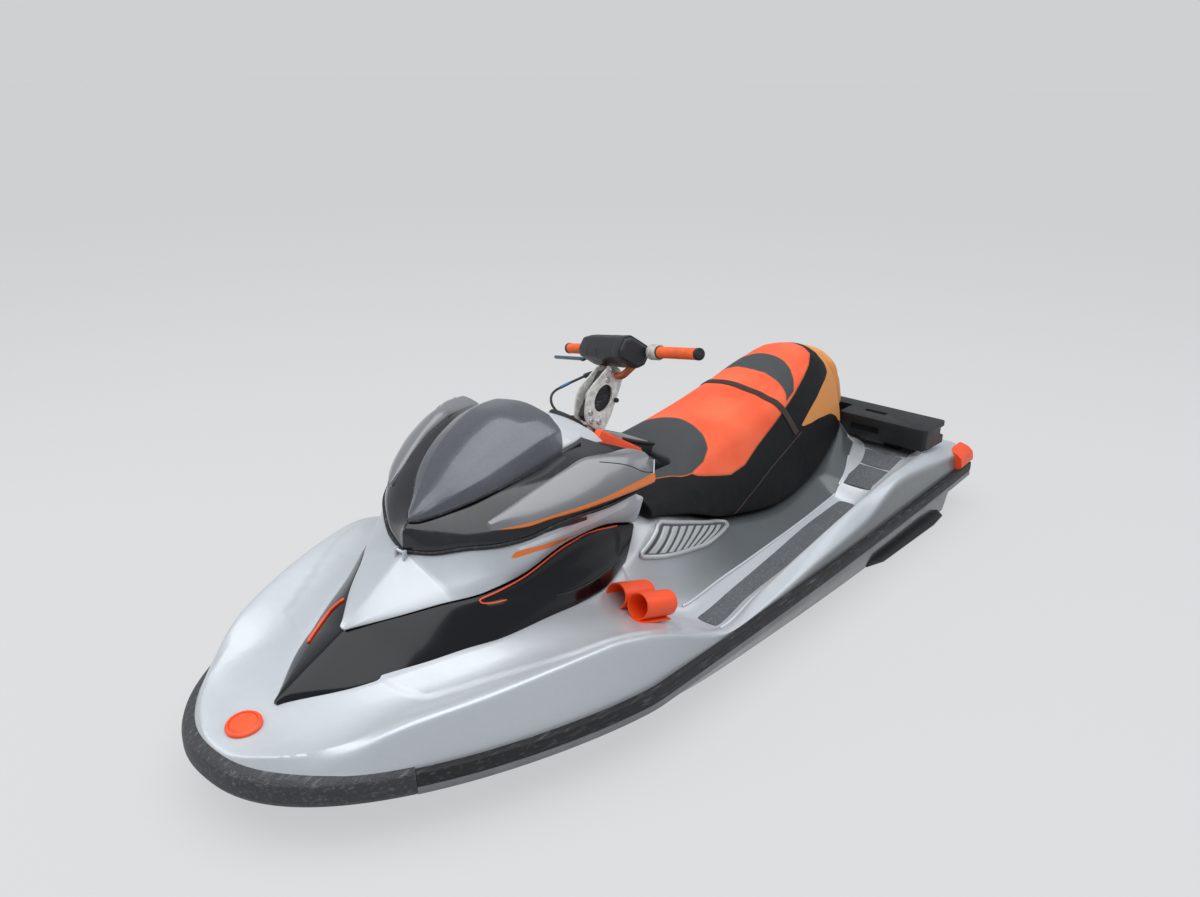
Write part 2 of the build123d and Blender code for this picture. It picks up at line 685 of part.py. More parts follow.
def build_corner_caps():
    """Coloured caps on the stern corners."""
    cap = rail(-2, CORNER_CAP_THICK, [CORNER_CAP_START_X, -1460, -1528], BUMPER_TOP_Z + FIT_GAP, 226)
    return both_sides(cap - deck_solid)


def build_filler_cap():
    """Round screw cap on the bow deck."""
    z = plateau_z(CAP_X)
    cap = Pos(fore(CAP_X), 0, z + CAP_HEIGHT / 2 - 3) * Cylinder(CAP_RADIUS, CAP_HEIGHT)
    return cap - deck_solid


def build_side_vents():
    """Louvred panels on the pedestal's sides, under the seat's front."""
    wires = []
    rows = [(300, 0.42, 0.78), (220, 0.42, 0.86), (0, 0.42, 0.88), (-160, 0.46, 0.86)]
    for x, low_share, high_share in rows:
        foot_y = between([(r[0], r[4][0]) for r in DECK_ROWS], x, 1)
        foot_z = between([(r[0], r[4][1]) for r in DECK_ROWS], x, 1)
        top_y, top_z = plateau_y(x), plateau_z(x)
        low = (foot_y + (top_y - foot_y) * low_share, foot_z + (top_z - foot_z) * low_share)
        high = (foot_y + (top_y - foot_y) * high_share, foot_z + (top_z - foot_z) * high_share)
        wires.append(side_wire_at(x, [(low[0] - 12, low[1] - 4), (low[0] + 7, low[1]),
                                      (high[0] + 7, high[1]), (high[0] - 12, high[1] - 4)]))
    return both_sides(ruled(wires) - deck_solid)


def build_rear_rack():
    """Moulded cargo rack over the aft deck with slots for straps."""
    depth, width, height = RACK_SIZE
    rack = Pos(fore(RACK_X), 0, RACK_Z + height / 2) * Box(depth, width, height)
    rack = fillet(rack.edges().filter_by(Axis.Z), 18)
    slot_length, slot_width = RACK_SLOT
    for y in (-RACK_SLOT_Y, RACK_SLOT_Y):
        rack -= Pos(fore(RACK_X), y, RACK_Z + height / 2) * Box(slot_width, slot_length, height + 2)
        for face in (-1, 1):
            pocket_x = fore(RACK_X) + face * depth / 2
            rack -= Pos(pocket_x, y, RACK_Z + height * 0.45) * Box(40, slot_length + 30, 26)
    for side in (-1, 1):
        rack -= Pos(fore(RACK_X) - depth / 2, side * width / 2, RACK_Z + height * 0.55) * Box(90, 50, 40)
    rack += rack_legs()
    front_x = fore(RACK_X) + depth / 2
    notch_x, notch_y = front_x - RACK_NOTCH[0], RACK_NOTCH[1]
    low_z, high_z = RACK_Z + 6, RACK_Z + height - 6
    rack -= block(notch_x, front_x + 1, -notch_y, notch_y, RACK_Z - 1, RACK_Z + height + 1)
    rack += block(notch_x - 8, notch_x, -notch_y, notch_y, low_z, high_z)
    for side in (-1, 1):
        wall_y, prong_y = side * (notch_y + 4), side * (notch_y - 12)
        rack += block(notch_x, front_x, wall_y - 4, wall_y + 4, low_z, high_z)
        for height_share in (0.45, 0.85):
            prong_z = RACK_Z + height * height_share
            rack += block(front_x - 22, front_x - 8, prong_y - 16, prong_y + 16, prong_z - 5, prong_z + 5)
    return rack - deck_solid


def rack_legs():
    """Two legs from the rack down to the aft deck."""
    legs = Part()
    for side in (-1, 1):
        legs += block(fore(RACK_X) - 30, fore(RACK_X) + 30, side * RACK_LEG_Y - 30, side * RACK_LEG_Y + 30,
                      plateau_z(RACK_X) - 20, RACK_Z + 14)
    return legs


def cup_location():
    """Place of the cup holder on the ledge ahead of the port footwell."""
    x, y, z = CUP_PLACE
    return Pos(fore(x), abeam(y), z) * Rot(0, 0, -CUP_TURN) * Rot(0, -CUP_TILT, 0)


def build_cup_holder():
    """Two cups on a thin base, with their mouths towards the bow."""
    place = cup_location()
    holder = Pos(12, 0, 2) * Box(CUP_LENGTH, 2 * CUP_PITCH - 14, CUP_BASE_THICK)
    holder += Pos(12, 0, -8) * Box(70, CUP_PITCH, 20)
    for side in (-1, 1):
        axis_z = CUP_RADIUS + CUP_BASE_THICK - 2
        cup = Pos(0, side * CUP_PITCH / 2, axis_z) * Rot(0, 90, 0) * Cylinder(CUP_RADIUS, CUP_LENGTH)
        cup = fillet(cup.edges().group_by(Axis.X)[0], 8)
        holder += cup
    for side in (-1, 1):
        axis_z = CUP_RADIUS + CUP_BASE_THICK - 2
        bore = Rot(0, 90, 0) * Cylinder(CUP_RADIUS - CUP_WALL, CUP_LENGTH)
        holder -= Pos(CUP_END, side * CUP_PITCH / 2, axis_z) * bore
    return place * holder - deck_solid


def build_sponsons():
    """Fins low on the hull's sides towards the stern."""
    wires = []
    for x, width in [(-700, 10), (-780, 34), (-1200, 34), (-1300, 22)]:
        wires.append(side_wire_at(x, [(480, -44), (512 + width, -30), (526 + width, 6), (500, 40)]))
    return both_sides(ruled(wires) - hull_solid)


def build_ride_plate():
    """Flat plate that closes the tunnel from below."""
    edge = TUNNEL_HALF_WIDTH - FIT_GAP
    return block(fore(-1330), fore(TUNNEL_FORE_X) - FIT_GAP, -edge, edge,
                 RIDE_PLATE_Z, RIDE_PLATE_Z + RIDE_PLATE_THICK)


def build_intake_grate():
    """Grate over the intake, with bars along the flow."""
    length_low, length_high = fore(INTAKE_AFT_X) + FIT_GAP, fore(INTAKE_FORE_X) - FIT_GAP
    edge = INTAKE_HALF_WIDTH - FIT_GAP
    z_low, z_high = -222, -206
    grate = block(length_low, length_low + 16, -edge, edge, z_low, z_high)
    grate += block(length_high - 16, length_high, -edge, edge, z_low, z_high)
    for y in (-edge + 5, -edge / 2, 0, edge / 2, edge - 5):
        grate += block(length_low + 2, length_high - 2, y - 5, y + 5, z_low, z_high)
    return grate


def build_pump_housing():
    """Jet pump with its flange, vane ring, outlet cone and pivot ears."""
    x_fore = fore(TUNNEL_FORE_X) - FIT_GAP
    x_aft, x_out = fore(PUMP_AFT_X), fore(OUTLET_X)
    rim = PUMP_RADIUS + PUMP_FLANGE
    profile = [(x_fore, PUMP_BORE), (x_fore, rim), (x_fore - 14, rim), (x_fore - 14, PUMP_RADIUS),
               (x_aft, PUMP_RADIUS), (x_out, OUTLET_RADIUS), (x_out, OUTLET_BORE), (x_aft, PUMP_BORE)]
    face = make_face(Plane.XZ * Polyline(*profile, close=True))
    pump = revolve(face, Axis.X)
    hub = rod_x(HUB_RADIUS, x_aft - 10, fore(HUB_FORE_X), 0, 0)
    for turn in range(STATOR_VANES):
        vane = block(x_aft, fore(HUB_FORE_X) - 6, -2.5, 2.5, HUB_RADIUS - 4, PUMP_BORE + 4)
        hub += Rot(360 / STATOR_VANES * turn, 0, 0) * vane
    hub -= rod_x(STUB_RADIUS + SHAFT_CLEARANCE, x_aft - 40, fore(HUB_FORE_X) + 10, 0, 0)
    pump = Pos(0, 0, JET_Z) * (pump + hub)
    pivot_x = fore(PIVOT_X)
    for side in (-1, 1):
        ear = block(pivot_x - 14, x_aft - 20, side * 99 - 4, side * 99 + 4, JET_Z - 16, JET_Z + 16)
        web = block(x_aft - 22, x_aft + 30, side * 90 - 13, side * 90 + 13, JET_Z - 16, JET_Z + 16)
        ear += rod_y(PIN_RADIUS, side * 99 - 22, side * 99 + 22, pivot_x, JET_Z)
        pump += ear + web - rod_x(PUMP_BORE, x_aft - 60, x_aft + 60, 0, JET_Z)
    for side in (-1, 1):
        z_mid = JET_Z + side * 84
        ear = block(pivot_x - 12, x_out + 30, -14, 14, z_mid - 4, z_mid + 4)
        root_z = JET_Z + side * 66
        ear += block(x_out + 8, x_out + 34, -14, 14, min(z_mid, root_z), max(z_mid, root_z))
        ear += rod_z(PIN_RADIUS, z_mid - 10, z_mid + 10, pivot_x, 0)
        pump += ear
    return pump


def build_impeller():
    """Three-bladed impeller with its drive shaft."""
    tip = PUMP_BORE - BLADE_GAP
    x_mid = fore(ROTOR_X)
    blades = Part()
    for turn in range(3):
        blade = Pos(0, 0, tip / 2 + 10) * Rot(0, 0, 38) * Box(58, 6, tip - 20)
        blades += Pos(x_mid, 0, JET_Z) * Rot(120 * turn, 0, 0) * blade
    rotor = blades & rod_x(tip, x_mid - 60, x_mid + 60, 0, JET_Z)
    rotor += rod_x(HUB_RADIUS, fore(HUB_FORE_X) + 5, x_mid + 40, 0, JET_Z)
    rotor += rod_x(STUB_RADIUS, fore(PUMP_AFT_X) - 5, x_mid, 0, JET_Z)
    rotor += rod_x(SHAFT_DRIVE_RADIUS, x_mid + 30, fore(BAY_AFT_X) + 12, 0, JET_Z)
    return rotor


def build_nozzle():
    """Steering nozzle, a hollow cone on a vertical pivot."""
    x_in, x_out = fore(PIVOT_X) - 2, fore(PIVOT_X) - NOZZLE_LENGTH
    profile = [(x_in, NOZZLE_INLET - NOZZLE_WALL), (x_in, NOZZLE_INLET), (x_out, NOZZLE_OUTLET),
               (x_out, NOZZLE_OUTLET - NOZZLE_WALL)]
    face = make_face(Plane.XZ * Polyline(*profile, close=True))
    nozzle = Pos(0, 0, JET_Z) * revolve(face, Axis.X)
    for side in (-1, 1):
        boss = rod_z(14, JET_Z + side * 66 - 11, JET_Z + side * 66 + 11, fore(PIVOT_X), 0)
        nozzle += boss - rod_x(NOZZLE_INLET - NOZZLE_WALL - 2, x_out, x_in + 40, 0, JET_Z)
        pin_z = JET_Z + side * 84
        nozzle -= rod_z(PIN_RADIUS + SHAFT_CLEARANCE, pin_z - 14, pin_z + 14, fore(PIVOT_X), 0)
    rest = Pos(fore(PIVOT_X), 0, 0) * Rot(0, 0, STEER_REST * NOZZLE_RATIO) * Pos(-fore(PIVOT_X), 0, 0)
    return rest * nozzle


def build_bucket():
    """Reverse bucket, stowed above the nozzle."""
    start, end = 12.0, 96.0
    pivot_x = fore(PIVOT_X)
    outer = BUCKET_RADIUS + BUCKET_WALL
    arc_low = (-BUCKET_RADIUS * cos(radians(start)), BUCKET_RADIUS * sin(radians(start)))
    arc_high = (-BUCKET_RADIUS * cos(radians(end)), BUCKET_RADIUS * sin(radians(end)))
    out_low = (-outer * cos(radians(start)), outer * sin(radians(start)))
    out_high = (-outer * cos(radians(end)), outer * sin(radians(end)))
    middle = radians((start + end) / 2)
    inner_mid = (-BUCKET_RADIUS * cos(middle), BUCKET_RADIUS * sin(middle))
    outer_mid = (-outer * cos(middle), outer * sin(middle))
    skin = make_face(Plane.XZ * (ThreePointArc(arc_low, inner_mid, arc_high) + Line(arc_high, out_high)
                                 + ThreePointArc(out_high, outer_mid, out_low) + Line(out_low, arc_low)))
    bucket = Pos(pivot_x, 0, JET_Z) * extrude(skin, BUCKET_HALF_WIDTH, both=True)
    edge = Line((-14, -14), out_low) + ThreePointArc(out_low, outer_mid, out_high) + Line(out_high, (14, 8))
    edge += Line((14, 8), (14, -14)) + Line((14, -14), (-14, -14))
    arm_face = make_face(Plane.XZ * edge)
    for side in (-1, 1):
        y_inner = BUCKET_HALF_WIDTH - 7
        arm = extrude(arm_face, 7)
        arm = Pos(pivot_x, side * (y_inner + 3.5) + 3.5, JET_Z) * arm
        bucket += arm
        pin_y = side * BUCKET_HALF_WIDTH
        bucket -= rod_y(PIN_RADIUS + SHAFT_CLEARANCE, pin_y - 20, pin_y + 20, pivot_x, JET_Z)
    return bucket


def build_engine():
    """Engine as one plain block on the bay's floor."""
    length, width, height = ENGINE_SIZE
    x_mid = fore((BAY_FORE_X + BAY_AFT_X) / 2) + 10
    return Pos(x_mid, 0, BAY_FLOOR_Z + height / 2) * Box(length, width, height)


def build_tow_eyes():
    """Bow eye on the stem and two stern eyes on the transom, each a drilled lug."""
    bow_x, stern_x = fore(BOW_EYE[0]), fore(TRANSOM_X) - 16
    half = EYE_THICK / 2
    bow = block(bow_x - 60, bow_x + 20, -half, half, BOW_EYE[1] - 20, BOW_EYE[1] + 20)
    bow -= rod_y(EYE_HOLE, -EYE_THICK, EYE_THICK, bow_x, BOW_EYE[1])
    stern_y, stern_z = STERN_EYE
    stern = block(stern_x - 18, stern_x + 16, stern_y - half, stern_y + half, stern_z - 18, stern_z + 18)
    stern -= rod_y(EYE_HOLE, stern_y - EYE_THICK, stern_y + EYE_THICK, stern_x, stern_z)
    return [bow - hull_solid] + both_sides(stern - hull_solid)


def steering_location(turn):
    """Steering column's frame: Z up the column, X forward, turned by an angle."""
    lean = radians(COLUMN_LEAN)
    up = Vector(-sin(lean), 0, cos(lean))
    ahead = Vector(cos(lean), 0, sin(lean))
    plane = Plane(origin=(fore(COLUMN_X), 0, COLUMN_Z), x_dir=ahead, z_dir=up)
    return plane.location * Rot(0, 0, turn)


def turned(shape):
    """A piece of the steering, set at the angle it rests at."""
    return steering_location(-STEER_REST) * shape


def build_steering_plates():
    """Two drilled side plates on the column's shaft, joined by cross bolts."""
    shaft = Pos(0, 0, -10) * Cylinder(SHAFT_RADIUS, 66)
    foot = Pos(0, 0, 18) * Box(56, 2 * PLATE_SPREAD, 26)
    body = shaft + foot
    for side in (-1, 1):
        outline = make_face(Spline(*PLATE_OUTLINE, periodic=True))
        slot = Pos(*PLATE_HOLE) * Ellipse(*PLATE_HOLE_SIZE)
        plate = extrude(Plane.XZ * outline, PLATE_THICK / 2, both=True)
        plate -= extrude(Plane.XZ * slot, 20, both=True)
        body += Pos(0, side * PLATE_SPREAD, 0) * plate
    for ahead, height in PLATE_BOLTS:
        body += Pos(ahead, 0, height) * Rot(90, 0, 0) * Cylinder(6, 2 * PLATE_SPREAD + 14)
    return turned(body - bar_hole())


def handlebar_path():
    """Bent centre line of the handlebar."""
    low = BAR_HEIGHT - BAR_DROP
    return [(BAR_SET_BACK, -GRIP_OUTER_Y, BAR_HEIGHT), (BAR_SET_BACK, -108, BAR_HEIGHT), (BAR_LOW_X, -62, low),
            (BAR_LOW_X, 62, low), (BAR_SET_BACK, 108, BAR_HEIGHT), (BAR_SET_BACK, GRIP_OUTER_Y, BAR_HEIGHT)]


def build_handlebar():
    """Bent handlebar tube between the plates."""
    path = FilletPolyline(*handlebar_path(), radius=22)
    start = Plane(origin=path @ 0, z_dir=path % 0)
    tube = sweep(start * Circle(BAR_RADIUS), path=path)
    clamp = Pos(BAR_LOW_X, 0, BAR_HEIGHT - BAR_DROP) * Rot(90, 0, 0)
    clamp = clamp * Cylinder(BAR_RADIUS + 9, 2 * PLATE_SPREAD - PLATE_THICK)
    return turned(tube + clamp)


def bar_hole():
    """Room for the handlebar through the plates."""
    return Pos(BAR_LOW_X, 0, BAR_HEIGHT - BAR_DROP) * Rot(90, 0, 0) * Cylinder(BAR_RADIUS, 4 * PLATE_SPREAD)


def build_bar_pad():
    """Foam pad over the middle of the bar."""
    pad = Box(*BAR_PAD_SIZE)
    pad = fillet(pad.edges().filter_by(Axis.Y), 30)
    pad = Pos(BAR_PAD_X, 0, BAR_HEIGHT - BAR_PAD_DROP) * pad
    path = FilletPolyline(*handlebar_path(), radius=22)
    start = Plane(origin=path @ 0, z_dir=path % 0)
    room = sweep(start * Circle(BAR_RADIUS + FIT_GAP), path=path)
    pad -= room
    pad -= Pos(BAR_LOW_X, 0, BAR_HEIGHT - BAR_DROP) * Rot(90, 0, 0) * Cylinder(BAR_RADIUS + 12, 2 * PLATE_SPREAD + 20)
    return turned(pad)


def along_bar(radius, y_low, y_high):
    """Sleeve on one end of the bar."""
    sleeve = rod_y(radius, y_low, y_high, BAR_SET_BACK, BAR_HEIGHT)
    return sleeve - rod_y(BAR_RADIUS, y_low - 30, y_high + 30, BAR_SET_BACK, BAR_HEIGHT)


def build_grips():
    """Rubber grip on each end of the bar."""
    return [turned(along_bar(GRIP_RADIUS, low, high)) for low, high in
            ((GRIP_INNER_Y, GRIP_OUTER_Y), (-GRIP_OUTER_Y, -GRIP_INNER_Y))]


def build_grip_ends():
    """Black plug on each end of the bar."""
    ends = []
    for side in (-1, 1):
        plug = Pos(BAR_SET_BACK, side * (GRIP_OUTER_Y + 7), BAR_HEIGHT) * Rot(90, 0, 0) * Cylinder(18, 14)
        ends.append(turned(plug))
    return ends


def build_switch_housings():
    """Switch and throttle housings inside the grips."""
    port = along_bar(24, SWITCH_INNER_Y, GRIP_INNER_Y - 4)
    starboard = along_bar(26, -GRIP_INNER_Y + 4, -SWITCH_INNER_Y)
    return [turned(port), turned(starboard)]


def build_throttle_lever():
    """Throttle lever ahead of the starboard grip."""
    lever = Pos(42, -242, BAR_HEIGHT - 59) * Box(10, 172, 9)
    arm = Pos(24, -156, BAR_HEIGHT - 39) * Rot(0, 54, 0) * Box(60, 16, 10)
    housing = Pos(BAR_SET_BACK, -150, BAR_HEIGHT) * Rot(90, 0, 0) * Cylinder(26, 80)
    return turned(lever + arm - housing)


def build_cable():
    """Control cable that loops from the starboard plate, out beside the column, to the plate's foot."""
    path = FilletPolyline(*CABLE_ROUTE, radius=cable_radii(CABLE_ROUTE))
    start = Plane(origin=path @ 0, z_dir=path % 0)
    return turned(sweep(start * Circle(CABLE_RADIUS), path=path))


def cable_radii(route):
    """Arc at each inner corner of the route, as large as its shorter run allows."""
    radii = []
    for before, corner, after in zip(route, route[1:], route[2:]):
        first, second = Vector(corner) - Vector(before), Vector(after) - Vector(corner)
        half_turn = radians(first.get_angle(second)) / 2
        radii.append(0.45 * min(first.length, second.length) / tan(half_turn))
    return radii


def save(name, shape):
    """Write one node's solids to its file."""
    solids = shape if isinstance(shape, list) else [shape]
    pieces = [solid for item in solids for solid in item.solids()]
    export_step(pieces[0] if len(pieces) == 1 else Compound(children=pieces), f"parts/{name}.step")


hull_solid = build_hull()
deck_solid = build_deck()
seat_solid = build_seat()
tail_solid = build_seat_tail()
tail_pedestal_solid = build_tail_pedestal()
side_cowl_solid = build_side_cowl()
nose_cowl_solid = build_nose_cowl()

save("hull", hull_solid)
save("deck", deck_solid)
save("seat_tail", tail_solid)
save("side_cowl", side_cowl_solid)
save("nose_cowl", nose_cowl_solid)
save("hood_hinge", build_hood_hinge())
save("hood_seal", build_hood_seal())
save("hood_shell", build_hood_shell())
save("hood_dome", build_hood_dome())
save("mirror_pods", build_mirror_pods())
save("mirror_glasses", build_mirror_glasses())
save("console", build_console())
save("glovebox_lid", build_glovebox_lid())
save("glovebox_trim", build_glovebox_trim())
save("gauge_pod", build_gauge_pod())
save("gauge", build_gauge())
save("seat", seat_solid)
save("seat_strap", build_seat_strap())
save("tail_pedestal", tail_pedestal_solid)
save("footwell_mats", build_footwell_mats())
save("aft_mat", build_aft_mat())
save("side_bumpers", build_side_bumpers())
save("bow_bumper", build_bow_bumper())
save("corner_caps", build_corner_caps())
save("filler_cap", build_filler_cap())
save("side_vents", build_side_vents())
save("rear_rack", build_rear_rack())
save("cup_holder", build_cup_holder())
save("sponsons", build_sponsons())
save("ride_plate", build_ride_plate())
save("intake_grate", build_intake_grate())
save("pump_housing", build_pump_housing())
save("impeller", build_impeller())
save("steering_nozzle", build_nozzle())
save("reverse_bucket", build_bucket())
save("engine_block", build_engine())
save("tow_eyes", build_tow_eyes())
save("steering_plates", build_steering_plates())
save("handlebar", build_handlebar())
save("bar_pad", build_bar_pad())
save("grips", build_grips())
save("grip_ends", build_grip_ends())
save("switch_housings", build_switch_housings())
save("throttle_lever", build_throttle_lever())
save("control_cable", build_cable())
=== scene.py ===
"""Looks of a sit-down personal watercraft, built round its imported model.

+X is the bow, +Y is port, +Z is up, and z = 0 is the waterline. Lengths are in metres, apart from
the rows and radii of the lofted skins and what is laid out with them, which are in millimetres.
"""
from __future__ import annotations

import json
import logging
import math
from dataclasses import dataclass
from enum import Enum
from typing import Sequence, Union
import bmesh
import bpy
import numpy as np
from mathutils import Matrix, Vector
from mathutils.bvhtree import BVHTree


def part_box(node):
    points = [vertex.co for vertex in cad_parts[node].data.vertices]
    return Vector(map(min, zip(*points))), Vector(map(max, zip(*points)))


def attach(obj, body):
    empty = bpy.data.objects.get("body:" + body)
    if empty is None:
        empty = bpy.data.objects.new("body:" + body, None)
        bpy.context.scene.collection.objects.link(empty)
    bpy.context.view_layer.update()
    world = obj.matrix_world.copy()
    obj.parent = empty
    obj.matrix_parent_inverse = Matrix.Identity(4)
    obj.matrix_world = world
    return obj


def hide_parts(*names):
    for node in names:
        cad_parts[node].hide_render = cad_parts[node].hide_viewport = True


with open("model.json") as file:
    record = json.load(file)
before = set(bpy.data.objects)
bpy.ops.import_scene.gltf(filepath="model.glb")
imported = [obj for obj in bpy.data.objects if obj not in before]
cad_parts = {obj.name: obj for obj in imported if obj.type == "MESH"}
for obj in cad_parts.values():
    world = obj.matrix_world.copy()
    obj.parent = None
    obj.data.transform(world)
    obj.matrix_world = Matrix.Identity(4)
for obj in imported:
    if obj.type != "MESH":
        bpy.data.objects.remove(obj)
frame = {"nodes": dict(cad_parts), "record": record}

logging.basicConfig(level=logging.INFO, format="%(message)s")
LOG = logging.getLogger("watercraft")

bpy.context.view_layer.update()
MM = 0.001
SHARP_DEGREES = 38.0

Place = tuple[float, float, float]
Colour = tuple[float, float, float]
Point = tuple[float, float]
Section = tuple[Point, ...]
Block = tuple[Place, Place]
Rows = tuple[tuple[float, ...], ...]
Piece = bpy.types.Object
Socket = bpy.types.NodeSocket
Term = Union["Value", float, Socket]


class Body(str, Enum):
    """Bodies of the craft that this script adds pieces to."""

    CRAFT = "craft"
    LID = "front_lid"
    GLOVEBOX = "glovebox"
    STEERING = "steering"


class Zone(str, Enum):
    """Attributes that hold the distance to a colour boundary, in metres."""

    FIRST = "zone_a"
    SECOND = "zone_b"
    THIRD = "zone_c"
    FOURTH = "zone_d"


# Shader tools


class Value:
    """A shader value that takes part in Python expressions."""

    def __init__(self, graph: Graph, socket: Socket) -> None:
        """Wraps a socket of a graph."""
        self.graph = graph
        self.socket = socket

    def math(self, operation: str, first: Term, second: Term = 0.0) -> Value:
        """Adds a Math node."""
        node = self.graph.node("ShaderNodeMath", {"operation": operation}, {0: first, 1: second})
        return Value(self.graph, node.outputs[0])

    def __add__(self, other: Term) -> Value:
        """Sum."""
        return self.math("ADD", self, other)

    def __radd__(self, other: Term) -> Value:
        """Sum with the value on the right."""
        return self.math("ADD", other, self)

    def __sub__(self, other: Term) -> Value:
        """Difference."""
        return self.math("SUBTRACT", self, other)

    def __rsub__(self, other: Term) -> Value:
        """Difference with the value on the right."""
        return self.math("SUBTRACT", other, self)

    def __mul__(self, other: Term) -> Value:
        """Product."""
        return self.math("MULTIPLY", self, other)

    def __rmul__(self, other: Term) -> Value:
        """Product with the value on the right."""
        return self.math("MULTIPLY", other, self)

    def __abs__(self) -> Value:
        """Size without sign."""
        return self.math("ABSOLUTE", self)

    def larger(self, other: Term) -> Value:
        """The larger of two values."""
        return self.math("MAXIMUM", self, other)

    def smaller(self, other: Term) -> Value:
        """The smaller of two values."""
        return self.math("MINIMUM", self, other)

    def wave(self) -> Value:
        """Sine."""
        return self.math("SINE", self)

    def rise(self, low: float, high: float) -> Value:
        """Smooth step.

        Args:
            low: Value where the step is 0.
            high: Value where the step is 1.

        Returns:
            A value from 0 to 1.
        """
        inputs = {"Value": self, "From Min": low, "From Max": high}
        node = self.graph.node("ShaderNodeMapRange", {"interpolation_type": "SMOOTHSTEP"}, inputs)
        return Value(self.graph, node.outputs[0])


class Graph:
    """Node tree of one material."""

    def __init__(self, name: str) -> None:
        """Makes an empty material.

        Args:
            name: Name of the material.
        """
        self.material = bpy.data.materials.new(name)
        self.material.use_nodes = True
        self.tree = self.material.node_tree
        self.tree.nodes.clear()
        self._coordinates: Socket | None = None

    def node(self, kind: str, settings: dict | None = None, inputs: dict | None = None) -> bpy.types.Node:
        """Adds a node.

        Args:
            kind: Node type.
            settings: Settings of the node.
            inputs: Values or links by socket name or number.

        Returns:
            The new node.
        """
        node = self.tree.nodes.new(kind)
        for key, setting in (settings or {}).items():
            setattr(node, key, setting)
        for key, term in (inputs or {}).items():
            socket = node.inputs[key]
            if isinstance(term, Value):
                self.tree.links.new(term.socket, socket)
            elif isinstance(term, Socket):
                self.tree.links.new(term, socket)
            elif isinstance(term, tuple) and len(term) == 3 and socket.type == "RGBA":
                socket.default_value = (*term, 1.0)
            else:
                socket.default_value = term
        return node

    def value(self, kind: str, settings: dict | None, inputs: dict, output: str | int = 0) -> Value:
        """Adds a node and wraps one of its outputs."""
        return Value(self, self.node(kind, settings, inputs).outputs[output])

    def place(self) -> Socket:
        """Object coordinates.

        Returns:
            The coordinates.
        """
        if self._coordinates is None:
            self._coordinates = self.node("ShaderNodeTexCoord").outputs["Object"]
        return self._coordinates

    def axis(self, name: str) -> Value:
        """One object coordinate."""
        node = self.node("ShaderNodeSeparateXYZ", None, {0: self.place()})
        return Value(self, node.outputs[name])

    def stretched(self, scale: Sequence[float]) -> Socket:
        """Object coordinates with a scale along each axis."""
        inputs = {"Vector": self.place(), "Scale": tuple(scale)}
        return self.node("ShaderNodeMapping", None, inputs).outputs[0]

    def noise(self, scale: float, detail: float = 3.0, vector: Socket | None = None) -> Value:
        """Cloudy noise from 0 to 1."""
        inputs = {"Vector": vector or self.place(), "Scale": scale, "Detail": detail}
        return self.value("ShaderNodeTexNoise", None, inputs, "Fac")

    def cells(self, scale: float) -> Value:
        """Distance to the points of a cell pattern."""
        return self.value("ShaderNodeTexVoronoi", None, {"Vector": self.place(), "Scale": scale}, "Distance")

    def zone(self, zone: Zone) -> Value:
        """Distance to a colour boundary, negative inside."""
        return self.value("ShaderNodeAttribute", {"attribute_name": zone.value}, {}, "Fac")

    def inside(self, zone: Zone, low: float, high: float) -> Value:
        """1 inside a zone and 0 outside it, changing between two distances."""
        return 1.0 - self.zone(zone).rise(low, high)

    def blend(self, share: Term, low: Term | Colour, high: Term | Colour) -> Socket:
        """Mixes two colours.

        Args:
            share: Share of the second colour.
            low: First colour.
            high: Second colour.

        Returns:
            The mixed colour.
        """
        settings = {"data_type": "RGBA", "clamp_factor": True}
        node = self.node("ShaderNodeMix", settings, {0: share, 6: low, 7: high})
        return node.outputs[2]


@dataclass(frozen=True)
class Finish:
    """A surface finish with slow colour changes, a fine grain and uneven gloss."""

    colour: Colour
    roughness: float = 0.5
    metallic: float = 0.0
    coat: float = 0.0
    coat_roughness: float = 0.05
    specular: float = 0.5
    cloud_scale: float = 9.0
    cloud: float = 0.06
    grain_scale: float = 900.0
    grain: float = 0.0001
    smear: float = 0.06

    def shades(self, spread: float) -> tuple[Colour, Colour]:
        """Darker and lighter colour."""
        return tuple(tuple(min(c * (1.0 + change), 1.0) for c in self.colour) for change in (-spread, spread))

    def tint(self, graph: Graph) -> Term | Colour:
        """Base colour with slow changes."""
        return graph.blend(graph.noise(self.cloud_scale, 4.0).rise(0.3, 0.7), *self.shades(self.cloud))

    def gloss(self, graph: Graph) -> Term:
        """Roughness with smears."""
        return graph.noise(self.cloud_scale * 3.0, 5.0).rise(0.35, 0.75) * self.smear + self.roughness

    def relief(self, graph: Graph) -> Value | None:
        """Height of the grain in metres, or None on a polished surface.

        Args:
            graph: Graph of the material.

        Returns:
            The height.
        """
        if self.grain <= 0.0:
            return None
        return graph.noise(self.grain_scale, 2.0) * self.grain

    def make(self, name: str) -> bpy.types.Material:
        """Builds the material.

        Args:
            name: Name of the material.

        Returns:
            The material.
        """
        graph = Graph(name)
        inputs = {
            "Base Color": self.tint(graph),
            "Roughness": self.gloss(graph),
            "Metallic": self.metallic,
            "Coat Weight": self.coat,
            "Coat Roughness": self.coat_roughness,
            "Specular IOR Level": self.specular,
        }
        height = self.relief(graph)
        if height is not None:
            relief = {"Height": height, "Distance": 1.0, "Strength": 1.0}
            inputs["Normal"] = graph.node("ShaderNodeBump", None, relief).outputs[0]
        shader = graph.node("ShaderNodeBsdfPrincipled", None, inputs)
        graph.node("ShaderNodeOutputMaterial", None, {"Surface": shader.outputs[0]})
        return graph.material


